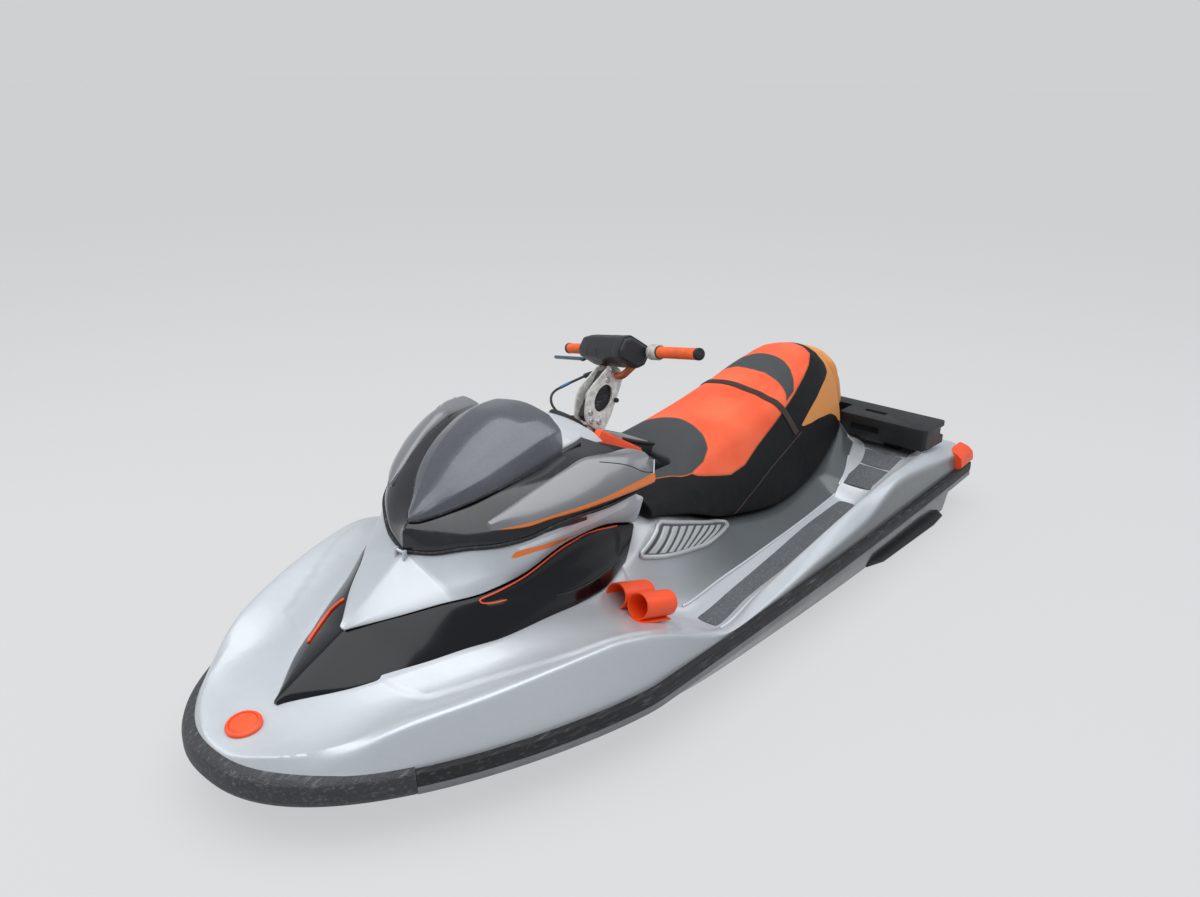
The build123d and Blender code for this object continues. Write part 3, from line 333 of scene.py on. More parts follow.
@dataclass(frozen=True)
class FlakePaint(Finish):
    """Clear-coated paint with metal flake, faint dust and water marks."""

    flake_scale: float = 2600.0
    flake: float = 0.16
    dust_scale: float = 55.0
    dust: float = 0.05
    dust_colour: Colour = (0.42, 0.4, 0.36)
    wave_scale: float = 38.0

    def tint(self, graph: Graph) -> Term | Colour:
        """Base colour with flake and dust.

        Args:
            graph: Graph of the material.

        Returns:
            The colour.
        """
        dark, light = self.shades(self.flake)
        base = graph.blend(graph.cells(self.flake_scale).rise(0.1, 0.9), light, dark)
        spots = graph.noise(self.dust_scale, 6.0).rise(0.56, 0.72) * self.dust
        return graph.blend(spots, base, self.dust_colour)

    def relief(self, graph: Graph) -> Value | None:
        """Faint waviness of the moulding."""
        return graph.noise(self.wave_scale, 2.0) * self.grain


@dataclass(frozen=True)
class Rubber(Finish):
    """Moulded rubber with scuffs that turn it grey."""

    scuff_colour: Colour = (0.2, 0.2, 0.2)
    scuff: float = 0.35
    scuff_stretch: Place = (6.0, 40.0, 40.0)

    def tint(self, graph: Graph) -> Term | Colour:
        """Base colour with scuffs."""
        marks = graph.noise(3.0, 6.0, graph.stretched(self.scuff_stretch)).rise(0.5, 0.78) * self.scuff
        return graph.blend(marks, super().tint(graph), self.scuff_colour)

    def relief(self, graph: Graph) -> Value | None:
        """Pebbled surface."""
        return graph.cells(self.grain_scale).rise(0.0, 0.9) * self.grain


@dataclass(frozen=True)
class SpeckledFoam(Finish):
    """Foam mat with pale and dark specks and a brushed nap."""

    pale: Colour = (0.27, 0.29, 0.31)
    pale_scale: float = 260.0
    dark: Colour = (0.035, 0.037, 0.04)
    dark_scale: float = 190.0
    nap_scale: float = 420.0

    def tint(self, graph: Graph) -> Term | Colour:
        """Base colour with specks.

        Args:
            graph: Graph of the material.

        Returns:
            The colour.
        """
        pale = graph.noise(self.pale_scale, 3.0).rise(0.55, 0.68)
        dark = graph.noise(self.dark_scale, 3.0, graph.stretched((1.0, 1.0, 1.3))).rise(0.56, 0.7)
        first = graph.blend(pale * 0.75, super().tint(graph), self.pale)
        return graph.blend(dark * 0.7, first, self.dark)

    def relief(self, graph: Graph) -> Value | None:
        """Nap of the foam."""
        return graph.noise(self.nap_scale, 3.0) * self.grain


@dataclass(frozen=True)
class SeatVinyl(Finish):
    """Marine vinyl in three colours, with piping on the boundaries between them."""

    accent: Colour = (0.9, 0.105, 0.04)
    faded: Colour = (0.96, 0.17, 0.075)
    panel: Colour = (0.062, 0.066, 0.07)
    piping: Colour = (0.5, 0.12, 0.05)
    piping_half_width: float = 0.0022
    cowl: Colour = (0.72, 0.3, 0.09)
    edge: Point = (-0.0006, 0.0006)
    groove_width: float = 0.006
    groove_depth: float = 0.0012
    leather_scale: float = 520.0
    crease_scale: float = 30.0
    crease_depth: float = 0.0006

    def seam(self, graph: Graph) -> Value:
        """Distance to the nearest boundary of the first three zones."""
        first, second, third = (abs(graph.zone(zone)) for zone in (Zone.FIRST, Zone.SECOND, Zone.THIRD))
        return first.smaller(second).smaller(third)

    def tint(self, graph: Graph) -> Term | Colour:
        """Side colour, accent inside the first zone, panels inside the next two, the cowl's in the fourth.

        Args:
            graph: Graph of the material.

        Returns:
            The colour.
        """
        red = graph.blend(graph.noise(7.0, 3.0).rise(0.25, 0.8), self.accent, self.faded)
        first = graph.blend(graph.inside(Zone.FIRST, *self.edge), super().tint(graph), red)
        panel = 1.0 - graph.zone(Zone.SECOND).smaller(graph.zone(Zone.THIRD)).rise(*self.edge)
        second = graph.blend(panel, first, self.panel)
        piping = 1.0 - self.seam(graph).rise(self.piping_half_width * 0.6, self.piping_half_width)
        piped = graph.blend(piping, second, self.piping)
        return graph.blend(graph.inside(Zone.FOURTH, *self.edge), piped, self.cowl)

    def relief(self, graph: Graph) -> Value | None:
        """Leather grain, with a stitched groove along the boundaries.

        Args:
            graph: Graph of the material.

        Returns:
            The height.
        """
        groove = self.seam(graph).rise(0.0, self.groove_width) * self.groove_depth
        grain = graph.cells(self.leather_scale).rise(0.0, 0.8) * self.grain
        return grain + graph.noise(self.crease_scale, 3.0) * self.crease_depth + groove


@dataclass(frozen=True)
class StripedPaint(FlakePaint):
    """Flake paint with a coloured stripe, a recess, a pale band and a facet darkened by painted shade."""

    stripe: Colour = (0.86, 0.2, 0.025)
    recess: Colour = (0.008, 0.008, 0.009)
    band: Colour = (0.72, 0.74, 0.76)
    # The facet's colour is painted shade on the nose's lower facet, fading in across it.
    facet: Colour = (0.3, 0.315, 0.33)
    edge: Point = (-0.0008, 0.0008)
    facet_fade: Point = (-0.075, 0.004)

    def tint(self, graph: Graph) -> Term | Colour:
        """Base colour with the four zones.

        Args:
            graph: Graph of the material.

        Returns:
            The colour.
        """
        # The fourth zone is painted shade, a darker grey over the nose's lower facet.
        colour = graph.blend(graph.inside(Zone.FOURTH, *self.facet_fade), super().tint(graph), self.facet)
        for zone, painted in ((Zone.THIRD, self.band), (Zone.SECOND, self.recess), (Zone.FIRST, self.stripe)):
            colour = graph.blend(graph.inside(zone, *self.edge), colour, painted)
        return colour


@dataclass(frozen=True)
class DeckPaint(FlakePaint):
    """Flake paint with painted shade on the flanks beside the seat and under the rails, which fades out
    ahead.
    """

    # flank and side are colours of painted shade, on the flanks beside the seat and on the sides under the
    # rails.
    flank: Colour = (0.1, 0.112, 0.118)
    side: Colour = (0.17, 0.182, 0.19)
    flank_edge: Point = (-0.002, 0.002)
    flank_fade: Point = (-0.2, 0.52)
    side_edge: Point = (-0.006, 0.004)
    side_fade: Point = (-0.4, 1.0)

    def tint(self, graph: Graph) -> Term | Colour:
        """Base colour darkened by painted shade in two zones.

        Args:
            graph: Graph of the material.

        Returns:
            The colour.
        """
        along = graph.axis("X")
        # Masks of the painted shade, each fading out ahead.
        flank = graph.inside(Zone.SECOND, *self.flank_edge) * (1.0 - along.rise(*self.flank_fade))
        side = graph.inside(Zone.THIRD, *self.side_edge) * (1.0 - along.rise(*self.side_fade))
        return graph.blend(side, graph.blend(flank, super().tint(graph), self.flank), self.side)


@dataclass(frozen=True)
class BrushedMetal(Finish):
    """Bare metal with fine scratches and dull patches."""

    scratch_stretch: Place = (1.0, 20.0, 1.0)
    scratch_scale: float = 160.0

    def relief(self, graph: Graph) -> Value | None:
        """Fine scratches."""
        return graph.noise(self.scratch_scale, 4.0, graph.stretched(self.scratch_stretch)) * self.grain


@dataclass(frozen=True)
class Webbing(Finish):
    """Woven strap."""

    thread: float = 0.0022

    def relief(self, graph: Graph) -> Value | None:
        """Ribs of the weave."""
        pitch = 2.0 * math.pi / self.thread
        return (graph.axis("X") * pitch).wave() * (graph.axis("Y") * pitch).wave() * self.grain


class Slot(Enum):
    """Finish of each material slot of the record."""

    hull_gelcoat = Finish((0.012, 0.012, 0.013), 0.22, coat=0.4, grain=0.0)
    # The deck's paint carries painted shade on its flanks and sides.
    silver_gelcoat = DeckPaint((0.56, 0.59, 0.62), 0.38, metallic=0.35, coat=0.4, grain=0.0004)
    gloss_black = Finish(
        (0.004, 0.0045, 0.006), 0.16, coat=0.15, specular=0.28, grain=0.0, cloud=0.02, smear=0.03
    )
    gunmetal_paint = FlakePaint((0.085, 0.092, 0.105), 0.24, metallic=0.55, coat=1.0, grain=0.0002)
    faded_orange = Finish((0.72, 0.3, 0.09), 0.54, specular=0.2, cloud=0.05, cloud_scale=14.0)
    orange_plastic = Finish((0.93, 0.085, 0.012), 0.36, cloud=0.05)
    orange_grip = Finish((0.84, 0.13, 0.022), 0.5, cloud=0.12, cloud_scale=30.0)
    orange_paint = Finish((0.5, 0.1, 0.03), 0.35, cloud=0.3, cloud_scale=25.0, metallic=0.3)
    black_plastic = Finish((0.016, 0.017, 0.018), 0.45, specular=0.35, grain=0.0002, cloud=0.12)
    grey_plastic = Finish((0.23, 0.245, 0.25), 0.42, grain=0.00012)
    silver_plastic = FlakePaint((0.68, 0.71, 0.75), 0.35, metallic=0.3, coat=0.2, grain=0.0)
    switch_grey = Finish((0.46, 0.45, 0.42), 0.6, cloud=0.3, cloud_scale=60.0, grain=0.0003)
    black_rubber = Rubber((0.014, 0.015, 0.016), 0.55, specular=0.35, grain=0.0005, grain_scale=420.0)
    seat_vinyl = SeatVinyl((0.006, 0.0063, 0.0068), 0.54, grain=0.00022, cloud=0.1, specular=0.2)
    pad_vinyl = Finish((0.02, 0.021, 0.024), 0.42, specular=0.4, grain=0.0003, grain_scale=500.0)
    strap_webbing = Webbing((0.055, 0.035, 0.028), 0.75, grain=0.0006)
    mat_foam = SpeckledFoam((0.1, 0.11, 0.12), 0.8, specular=0.3, grain=0.0009)
    steel = BrushedMetal((0.5, 0.5, 0.5), 0.3, metallic=1.0, grain=0.00005)
    pale_aluminium = BrushedMetal((0.66, 0.65, 0.62), 0.42, metallic=0.45, cloud=0.2, cloud_scale=70.0)
    cast_aluminium = Finish((0.32, 0.33, 0.34), 0.48, metallic=0.9, grain=0.0004, grain_scale=420.0)
    engine_metal = Finish((0.05, 0.05, 0.05), 0.6)
    gauge_glass = Finish((0.02, 0.022, 0.026), 0.06, coat=1.0, grain=0.0)
    mirror_glass = Finish((0.86, 0.84, 0.85), 0.03, metallic=1.0, grain=0.0, cloud=0.01, smear=0.0)
    cable_black = Finish((0.02, 0.02, 0.02), 0.5)


class Look(Enum):
    """Finishes of pieces that differ from their slot's own."""

    sleeve_blue = Finish((0.03, 0.12, 0.3), 0.45)
    # The rub strip's pale grey is partly its own colour and partly a painted highlight on the rubber.
    rub_strip = Finish((0.2, 0.205, 0.21), 0.4, grain=0.0001, cloud=0.12)
    pale_edge = FlakePaint((0.66, 0.69, 0.72), 0.34, metallic=0.3, coat=0.5, grain=0.0)
    nose_rubber = Rubber(
        (0.03, 0.032, 0.036), 0.5, grain=0.0009, grain_scale=260.0, scuff=0.55, scuff_colour=(0.19, 0.2, 0.22)
    )
    hood_black = FlakePaint(
        (0.012, 0.013, 0.016), 0.14, metallic=0.3, coat=0.5, coat_roughness=0.1, specular=0.4, grain=0.0,
        dust=0.02,
    )
    smoked_dome = FlakePaint((0.09, 0.098, 0.112), 0.26, metallic=0.4, coat=0.5, grain=0.00012, cloud=0.08)
    pod_paint = StripedPaint((0.055, 0.06, 0.07), 0.3, metallic=0.3, coat=0.4, grain=0.0001)
    # The nose's paint carries painted shade on its lower facet.
    nose_paint = StripedPaint((0.52, 0.55, 0.58), 0.38, metallic=0.3, coat=0.3, grain=0.0002)
    lever_blue = Finish((0.05, 0.085, 0.13), 0.4, grain=0.0002)
    vent_dark = Finish((0.06, 0.063, 0.066), 0.5)
    vent_pale = FlakePaint((0.5, 0.52, 0.53), 0.36, metallic=0.4, coat=0.3, grain=0.0)


class Wardrobe:
    """Materials, built once each."""

    def __init__(self) -> None:
        """Starts with no materials."""
        self._made: dict[str, bpy.types.Material] = {}

    def of(self, look: Slot | Look) -> bpy.types.Material:
        """Material of a slot or look, which it is named after.

        Args:
            look: The slot or look.

        Returns:
            The material.
        """
        if look.name not in self._made:
            self._made[look.name] = look.value.make(look.name)
        return self._made[look.name]


WARDROBE = Wardrobe()


# Mesh tools


class Track:
    """A smooth line through points that never overshoots them."""

    def __init__(self, keys: Sequence[float], values: Sequence[float]) -> None:
        """Fits the line.

        Args:
            keys: Positions, in any order.
            values: Value at each position.
        """
        pairs = sorted(zip(keys, values))
        self.keys = [p[0] for p in pairs]
        self.values = [p[1] for p in pairs]
        spans = [b - a for a, b in zip(self.keys, self.keys[1:])]
        slopes = [(b - a) / h for a, b, h in zip(self.values, self.values[1:], spans)]
        self.slopes = [slopes[0]]
        for left, right, before, after in zip(slopes, slopes[1:], spans, spans[1:]):
            if left * right <= 0.0:
                self.slopes.append(0.0)
            else:
                first, second = 2.0 * after + before, after + 2.0 * before
                self.slopes.append((first + second) / (first / left + second / right))
        self.slopes.append(slopes[-1])

    def __call__(self, key: float) -> float:
        """Value at a position.

        Args:
            key: Position, kept between the ends.

        Returns:
            The line's value there.
        """
        key = min(max(key, self.keys[0]), self.keys[-1])
        index = min(max(int(np.searchsorted(self.keys, key)) - 1, 0), len(self.keys) - 2)
        span = self.keys[index + 1] - self.keys[index]
        t = (key - self.keys[index]) / span
        low, high = self.values[index], self.values[index + 1]
        low_slope, high_slope = self.slopes[index] * span, self.slopes[index + 1] * span
        return (
            low * (1 + 2 * t) * (1 - t) ** 2
            + low_slope * t * (1 - t) ** 2
            + high * t * t * (3 - 2 * t)
            + high_slope * t * t * (t - 1)
        )


def softened(points: Sequence[Point], radii: Sequence[float]) -> tuple[list[Point], list[float]]:
    """Splits each corner that has a radius into two points.

    Args:
        points: Corners of an open outline.
        radii: Radius at each corner, 0 for a sharp one, negative for a lone smooth point.

    Returns:
        The new points and the crease of each.
    """
    out: list[Point] = []
    creases: list[float] = []
    last = len(points) - 1
    for index, (point, radius) in enumerate(zip(points, radii)):
        if radius <= 0.0 or index in (0, last):
            out.append(point)
            creases.append(1.0 if radius == 0.0 and index not in (0, last) else 0.0)
            continue
        for other in (points[index - 1], points[index + 1]):
            run = (other[0] - point[0], other[1] - point[1])
            length = max(math.hypot(*run), 1e-6)
            share = min(radius / length, 0.46)
            out.append((point[0] + run[0] * share, point[1] + run[1] * share))
            creases.append(0.0)
    return out, creases


def softened_ring(points: Sequence[Point], radii: Sequence[float]) -> tuple[list[Point], list[float]]:
    """Splits the corners of a closed outline as softened does those of an open one.

    Args:
        points: Corners of a closed outline.
        radii: Radius at each corner.

    Returns:
        The new points and the crease of each.
    """
    around = [points[-1], *points, points[0]]
    out, creases = softened(around, [0.0, *radii, 0.0])
    return out[1:-1], creases[1:-1]


def tracks_of(keys: Sequence[float], rows: Sequence[Sequence[float]], *columns: int) -> list[Track]:
    """Smooth lines through columns of a table."""
    return [Track(keys, [row[k] for row in rows]) for k in columns]


def eased(share: np.ndarray) -> np.ndarray:
    """Shares that leave 0 and reach 1 gently."""
    share = np.clip(share, 0.0, 1.0)
    return share * share * (3.0 - 2.0 * share)


def evenly(first: float, last: float, parts: int) -> list[float]:
    """Ends of equal parts of a run."""
    return [first + (last - first) * k / parts for k in range(parts + 1)]


def tip_key(tip: float, x: float) -> float:
    """Root of the distance to a rounded tip, with a minus sign."""
    return -math.sqrt(max(tip - x, 0.0))


def tip_line(rows: Sequence[Sequence[float]], parts: int) -> list[Place]:
    """Smooth line through a table's x, y and z, from the rounded tip in its first row.

    Args:
        rows: Rows that start with x, y and z.
        parts: Number of steps.

    Returns:
        Points of the line.
    """
    tip = rows[0][0]
    keys = [tip_key(tip, row[0]) for row in rows]
    y, z = tracks_of(keys, rows, 1, 2)
    return [(tip - key * key, y(key), z(key)) for key in evenly(0.0, keys[-1], parts)]


def inside_quad(corners: Sequence[Point], u: float, v: float) -> Point:
    """Place in a quad by its shares from the first corner to the second, and towards the other two."""
    top, low = ([a + (b - a) * u for a, b in zip(corners[i], corners[j])] for i, j in ((0, 1), (3, 2)))
    return top[0] + (low[0] - top[0]) * v, top[1] + (low[1] - top[1]) * v


def whole_ring(port: list[Vector]) -> list[Vector]:
    """Closed ring from its port half, which starts on the centre line."""
    return [Vector((p.x, -p.y, p.z)) for p in reversed(port[1:])] + port


def linked(name: str, data: bpy.types.ID) -> Piece:
    """Object of some data, put in the scene.

    Args:
        name: Name of the object.
        data: Its mesh, curve, lamp or camera.

    Returns:
        The new object.
    """
    piece = bpy.data.objects.new(name, data)
    bpy.context.scene.collection.objects.link(piece)
    return piece


def evaluated(piece: Piece) -> bpy.types.Mesh:
    """Mesh that a piece's modifiers or curve give.

    Args:
        piece: A piece or a curve.

    Returns:
        A new mesh.
    """
    graph = bpy.context.evaluated_depsgraph_get()
    graph.update()
    return bpy.data.meshes.new_from_object(piece.evaluated_get(graph))


def new_object(name: str, mesh: bmesh.types.BMesh) -> Piece:
    """Makes a smooth-shaded object of a bmesh, with its normals outwards.

    Args:
        name: Name of the piece.
        mesh: Its bmesh, which is freed.

    Returns:
        The new piece.
    """
    bmesh.ops.remove_doubles(mesh, verts=mesh.verts, dist=1e-6)
    bmesh.ops.recalc_face_normals(mesh, faces=mesh.faces)
    data = bpy.data.meshes.new(name)
    mesh.to_mesh(data)
    mesh.free()
    for polygon in data.polygons:
        polygon.use_smooth = True
    return linked(name, data)


def applied(piece: Piece, sharp_degrees: float | None = SHARP_DEGREES) -> Piece:
    """Turns a piece's modifiers into its mesh.

    Args:
        piece: Object with modifiers.
        sharp_degrees: Angle from which edges are shaded sharp, or None.

    Returns:
        The same object.
    """
    data = evaluated(piece)
    piece.modifiers.clear()
    old = piece.data
    piece.data = data
    bpy.data.meshes.remove(old)
    data.name = piece.name
    if sharp_degrees is not None:
        data.set_sharp_from_angle(angle=math.radians(sharp_degrees))
    return piece


def subdivided(piece: Piece, levels: int) -> Piece:
    """Applies a subdivision surface.

    Args:
        piece: Piece to smooth.
        levels: Number of subdivisions.

    Returns:
        The same piece.
    """
    modifier = piece.modifiers.new("smooth", "SUBSURF")
    modifier.levels = modifier.render_levels = levels
    return applied(piece)


def bevelled(piece: Piece, width: float, segments: int = 2) -> Piece:
    """Rounds a piece's sharp edges.

    Args:
        piece: Piece to round.
        width: Width of the bevel.
        segments: Segments across it.

    Returns:
        The same piece.
    """
    modifier = piece.modifiers.new("round", "BEVEL")
    modifier.width, modifier.segments = width, segments
    modifier.limit_method, modifier.angle_limit = "ANGLE", math.radians(30.0)
    return applied(piece)


def cut(piece: Piece, cutter: Piece) -> Piece:
    """Cuts a piece with another, which is removed.

    Args:
        piece: Piece to cut.
        cutter: What is taken away.

    Returns:
        The same piece.
    """
    modifier = piece.modifiers.new("cut", "BOOLEAN")
    modifier.operation, modifier.object, modifier.solver = "DIFFERENCE", cutter, "EXACT"
    applied(piece)
    bpy.data.objects.remove(cutter)
    return piece


def loft(
    name: str, rings: Sequence[Sequence[Vector]], creases: Sequence[float], end_crease: float = 1.0
) -> Piece:
    """Closed skin through closed rings of points.

    Args:
        name: Name of the piece.
        rings: Rings with the same number of points.
        creases: Crease of the line through each point.
        end_crease: Crease of the two end rings.

    Returns:
        The new piece.
    """
    mesh = bmesh.new()
    layer = mesh.edges.layers.float.new("crease_edge")
    ring = [mesh.verts.new(point) for point in rings[0]]
    edges = [mesh.edges.new(pair) for pair in zip(ring, ring[1:] + ring[:1])]
    ends = [edges]
    for points in rings[1:]:
        geom = bmesh.ops.extrude_edge_only(mesh, edges=edges)["geom"]
        grown = {item for item in geom if isinstance(item, bmesh.types.BMVert)}
        following = []
        for old, point, crease in zip(ring, points, creases):
            edge = next(e for e in old.link_edges if e.other_vert(old) in grown)
            edge[layer] = crease
            vertex = edge.other_vert(old)
            vertex.co = point
            following.append(vertex)
        ring = following
        edges = [mesh.edges.get(pair) for pair in zip(ring, ring[1:] + ring[:1])]
    ends.append(edges)
    for edges in ends:
        bmesh.ops.contextual_create(mesh, geom=edges)
        for edge in edges:
            edge[layer] = end_crease
    return new_object(name, mesh)


def box_piece(name: str, low: Sequence[float], high: Sequence[float]) -> Piece:
    """Plain block between two corners, for cutting or as a start.

    Args:
        name: Name of the piece.
        low: Lowest corner.
        high: Highest corner.

    Returns:
        The new piece.
    """
    mesh = bmesh.new()
    size = [b - a for a, b in zip(low, high)]
    middle = [(a + b) / 2 for a, b in zip(low, high)]
    matrix = Matrix.Translation(middle) @ Matrix.Diagonal((*size, 1.0))
    bmesh.ops.create_cube(mesh, size=1.0, matrix=matrix)
    return new_object(name, mesh)


def cut_block(piece: Piece, block: Block) -> Piece:
    """Cuts a block between two corners out of a piece."""
    return cut(piece, box_piece("cutter", *block))


def joined(name: str, pieces: Sequence[Piece]) -> Piece:
    """Joins pieces into one object.

    Args:
        name: Name of the whole.
        pieces: Pieces to join, which are removed.

    Returns:
        The new piece.
    """
    mesh = bmesh.new()
    for piece in pieces:
        mesh.from_mesh(piece.data)
    data = bpy.data.meshes.new(name)
    mesh.to_mesh(data)
    mesh.free()
    whole = linked(name, data)
    for piece in pieces:
        bpy.data.objects.remove(piece)
    return whole


def both_sides(piece: Piece) -> Piece:
    """Adds a piece's mirror image across the centre line to its mesh.

    Args:
        piece: Piece on one side.

    Returns:
        The same piece.
    """
    mesh = bmesh.new()
    mesh.from_mesh(piece.data)
    copy = bmesh.ops.duplicate(mesh, geom=mesh.verts[:] + mesh.edges[:] + mesh.faces[:])["geom"]
    verts = [item for item in copy if isinstance(item, bmesh.types.BMVert)]
    faces = [item for item in copy if isinstance(item, bmesh.types.BMFace)]
    bmesh.ops.scale(mesh, vec=(1.0, -1.0, 1.0), verts=verts)
    bmesh.ops.reverse_faces(mesh, faces=faces)
    mesh.to_mesh(piece.data)
    mesh.free()
    return piece


def finish_piece(
    piece: Piece, body: Body, slot: Slot, *nodes: str, look: Slot | Look | None = None
) -> Piece:
    """Dresses a piece and ties it to its body.

    Args:
        piece: The finished mesh.
        body: Body that it rides on.
        slot: The record's slot that it takes its finish from.
        nodes: Nodes that it stands for.
        look: Look to use in place of the slot's own.

    Returns:
        The same piece.
    """
    piece.data.materials.clear()
    piece.data.materials.append(WARDROBE.of(look or slot))
    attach(piece, body.value)
    if nodes:
        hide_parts(*nodes)
    LOG.info("%s on %s, %d faces", piece.name, body.value, len(piece.data.polygons))
    return piece


@dataclass(frozen=True)
class Skin:
    """Skin lofted along X through sections in millimetres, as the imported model's are.

    Attributes:
        rows: Each section's x and its points y, z from low centre to high centre.
        radii: Radius of the line through each point, 0 for a sharp line.
        step: Largest distance between rings.
        one_sided: Whether the section is a closed ring on the port side alone.
        tip: Place of a rounded fore end, or None. Rings crowd towards it.
    """

    rows: tuple[tuple[float, Section], ...]
    radii: tuple[float, ...]
    step: float = 30.0
    one_sided: bool = False
    tip: float | None = None

    def key(self, x: float) -> float:
        """What the smooth lines are drawn over: x, or the root of the distance to a rounded tip."""
        return x if self.tip is None else tip_key(self.tip, x)

    def tracks(self) -> list[tuple[Track, Track]]:
        """Smooth lines through the sections' points.

        Returns:
            Lines of y and of z through each point.
        """
        keys = [self.key(row[0]) for row in self.rows]
        lines = zip(*(section for _, section in self.rows))
        return [tuple(tracks_of(keys, line, 0, 1)) for line in lines]

    def stations(self) -> list[float]:
        """Places of the rings, in millimetres.

        Returns:
            Each ring's x.
        """
        places = [self.rows[0][0]]
        for (ahead, _), (behind, _) in zip(self.rows, self.rows[1:]):
            parts = max(1, math.ceil(abs(ahead - behind) / self.step))
            if self.tip is None:
                places += evenly(ahead, behind, parts)[1:]
                continue
            keys = evenly(self.key(ahead), self.key(behind), max(2, parts))
            places += [self.tip - key**2 for key in keys[1:]]
        return places

    def section(self, tracks: list[tuple[Track, Track]], x: float) -> list[Point]:
        """Points of the section at a place."""
        key = self.key(x)
        return [(y(key), z(key)) for y, z in tracks]

    def build(self, name: str, levels: int = 2) -> Piece:
        """Makes the piece.

        Args:
            name: Name of the piece.
            levels: Subdivision levels.

        Returns:
            The new piece.
        """
        tracks = self.tracks()
        rings, creases = [], []
        for x in self.stations():
            corners = self.section(tracks, x)
            if self.one_sided:
                points, creases = softened_ring(corners, self.radii)
                rings.append([Vector((x, y, z)) * MM for y, z in points])
                continue
            points, lines = softened(corners, self.radii)
            ring = [Vector((x, y, z)) * MM for y, z in points]
            ring += [Vector((p.x, -p.y, p.z)) for p in reversed(ring[1:-1])]
            creases = lines + lines[-2:0:-1]
            rings.append(ring)
        return subdivided(loft(name, rings, creases), levels)


def mark_zone(piece: Piece, zone: Zone, places: np.ndarray, outline: Sequence[Point]) -> None:
    """Stores each vertex's distance to a closed outline, negative inside.

    Args:
        piece: Piece to mark.
        zone: Attribute to write.
        places: Each vertex's two coordinates in the outline's plane.
        outline: Corners of the outline.
    """
    corners = np.array(outline, float)
    following = np.roll(corners, -1, axis=0)
    best = np.full(len(places), 1e9)
    inside = np.zeros(len(places), bool)
    for a, b in zip(corners, following):
        run = b - a
        offset = places - a
        share = np.clip((offset @ run) / max(run @ run, 1e-12), 0.0, 1.0)
        best = np.minimum(best, np.linalg.norm(offset - share[:, None] * run, axis=1))
        crosses = (a[1] > places[:, 1]) != (b[1] > places[:, 1])
        rise = b[1] - a[1] if abs(b[1] - a[1]) > 1e-12 else 1e-12
        inside ^= crosses & (places[:, 0] < a[0] + (places[:, 1] - a[1]) / rise * run[0])
    attribute = piece.data.attributes.new(zone.value, "FLOAT", "POINT")
    attribute.data.foreach_set("value", np.where(inside, -best, best).astype(np.float32))


def mark_zones(piece: Piece, places: np.ndarray, *outlines: Sequence[Point]) -> None:
    """Marks a piece's zones in their order, one for each outline."""
    for zone, outline in zip(Zone, outlines):
        mark_zone(piece, zone, places, outline)


def coordinates(piece: Piece) -> np.ndarray:
    """Places of a piece's vertices.

    Args:
        piece: The piece.

    Returns:
        A row of x, y and z for each vertex.
    """
    places = np.zeros(len(piece.data.vertices) * 3)
    piece.data.vertices.foreach_get("co", places)
    return places.reshape(-1, 3)


def placed(piece: Piece, places: np.ndarray) -> Piece:
    """Moves a piece's vertices to their places.

    Args:
        piece: Piece to change.
        places: A row of x, y and z for each vertex.

    Returns:
        The same piece.
    """
    piece.data.vertices.foreach_set("co", places.ravel())
    piece.data.update()
    return piece


def smooth_outline(corners: Sequence[Point], parts: int = 8) -> list[Point]:
    """Closed curve through corners, as a fine outline.

    Args:
        corners: Corners, in order.
        parts: Steps between two corners.

    Returns:
        Points of the outline.
    """
    count = len(corners)
    out = []
    for k in range(count):
        a, b, c, d = (np.array(corners[(k + j) % count], float) for j in (-1, 0, 1, 2))
        for part in range(parts):
            t = part / parts
            bend, twist = 2 * a - 5 * b + 4 * c - d, 3 * b - a - 3 * c + d
            point = 0.5 * (2 * b + (c - a) * t + bend * t * t + twist * t**3)
            out.append((float(point[0]), float(point[1])))
    return out


def nurbs(data: bpy.types.Curve, points: Sequence[Sequence[float]], resolution: int) -> bpy.types.Spline:
    """Gives a curve one spline through control points, ending at the last ones.

    Args:
        data: The curve.
        points: Control points.
        resolution: Steps between two of them.

    Returns:
        The new spline.
    """
    data.dimensions, data.resolution_u = "3D", resolution
    spline = data.splines.new("NURBS")
    spline.points.add(len(points) - 1)
    for target, point in zip(spline.points, points):
        target.co = (*point, 1.0)
    spline.order_u, spline.use_endpoint_u = 3, True
    return spline


def tube(
    name: str, points: Sequence[Sequence[float]], radius: float, closed: bool = False, sides: int = 3
) -> Piece:
    """Smooth round tube through points in metres.

    Args:
        name: Name of the piece.
        points: Control points of its curve.
        radius: Radius in metres.
        closed: Whether it joins up.
        sides: Bevel resolution.

    Returns:
        The new piece, as a mesh.
    """
    data = bpy.data.curves.new(name, "CURVE")
    data.bevel_depth, data.bevel_resolution, data.use_fill_caps = radius, sides, True
    spline = nurbs(data, points, 6)
    spline.use_endpoint_u, spline.use_cyclic_u = not closed, closed
    curve = linked(name, data)
    mesh = evaluated(curve)
    bpy.data.objects.remove(curve)
    bpy.data.curves.remove(data)
    work = bmesh.new()
    work.from_mesh(mesh)
    bpy.data.meshes.remove(mesh)
    return new_object(name, work)


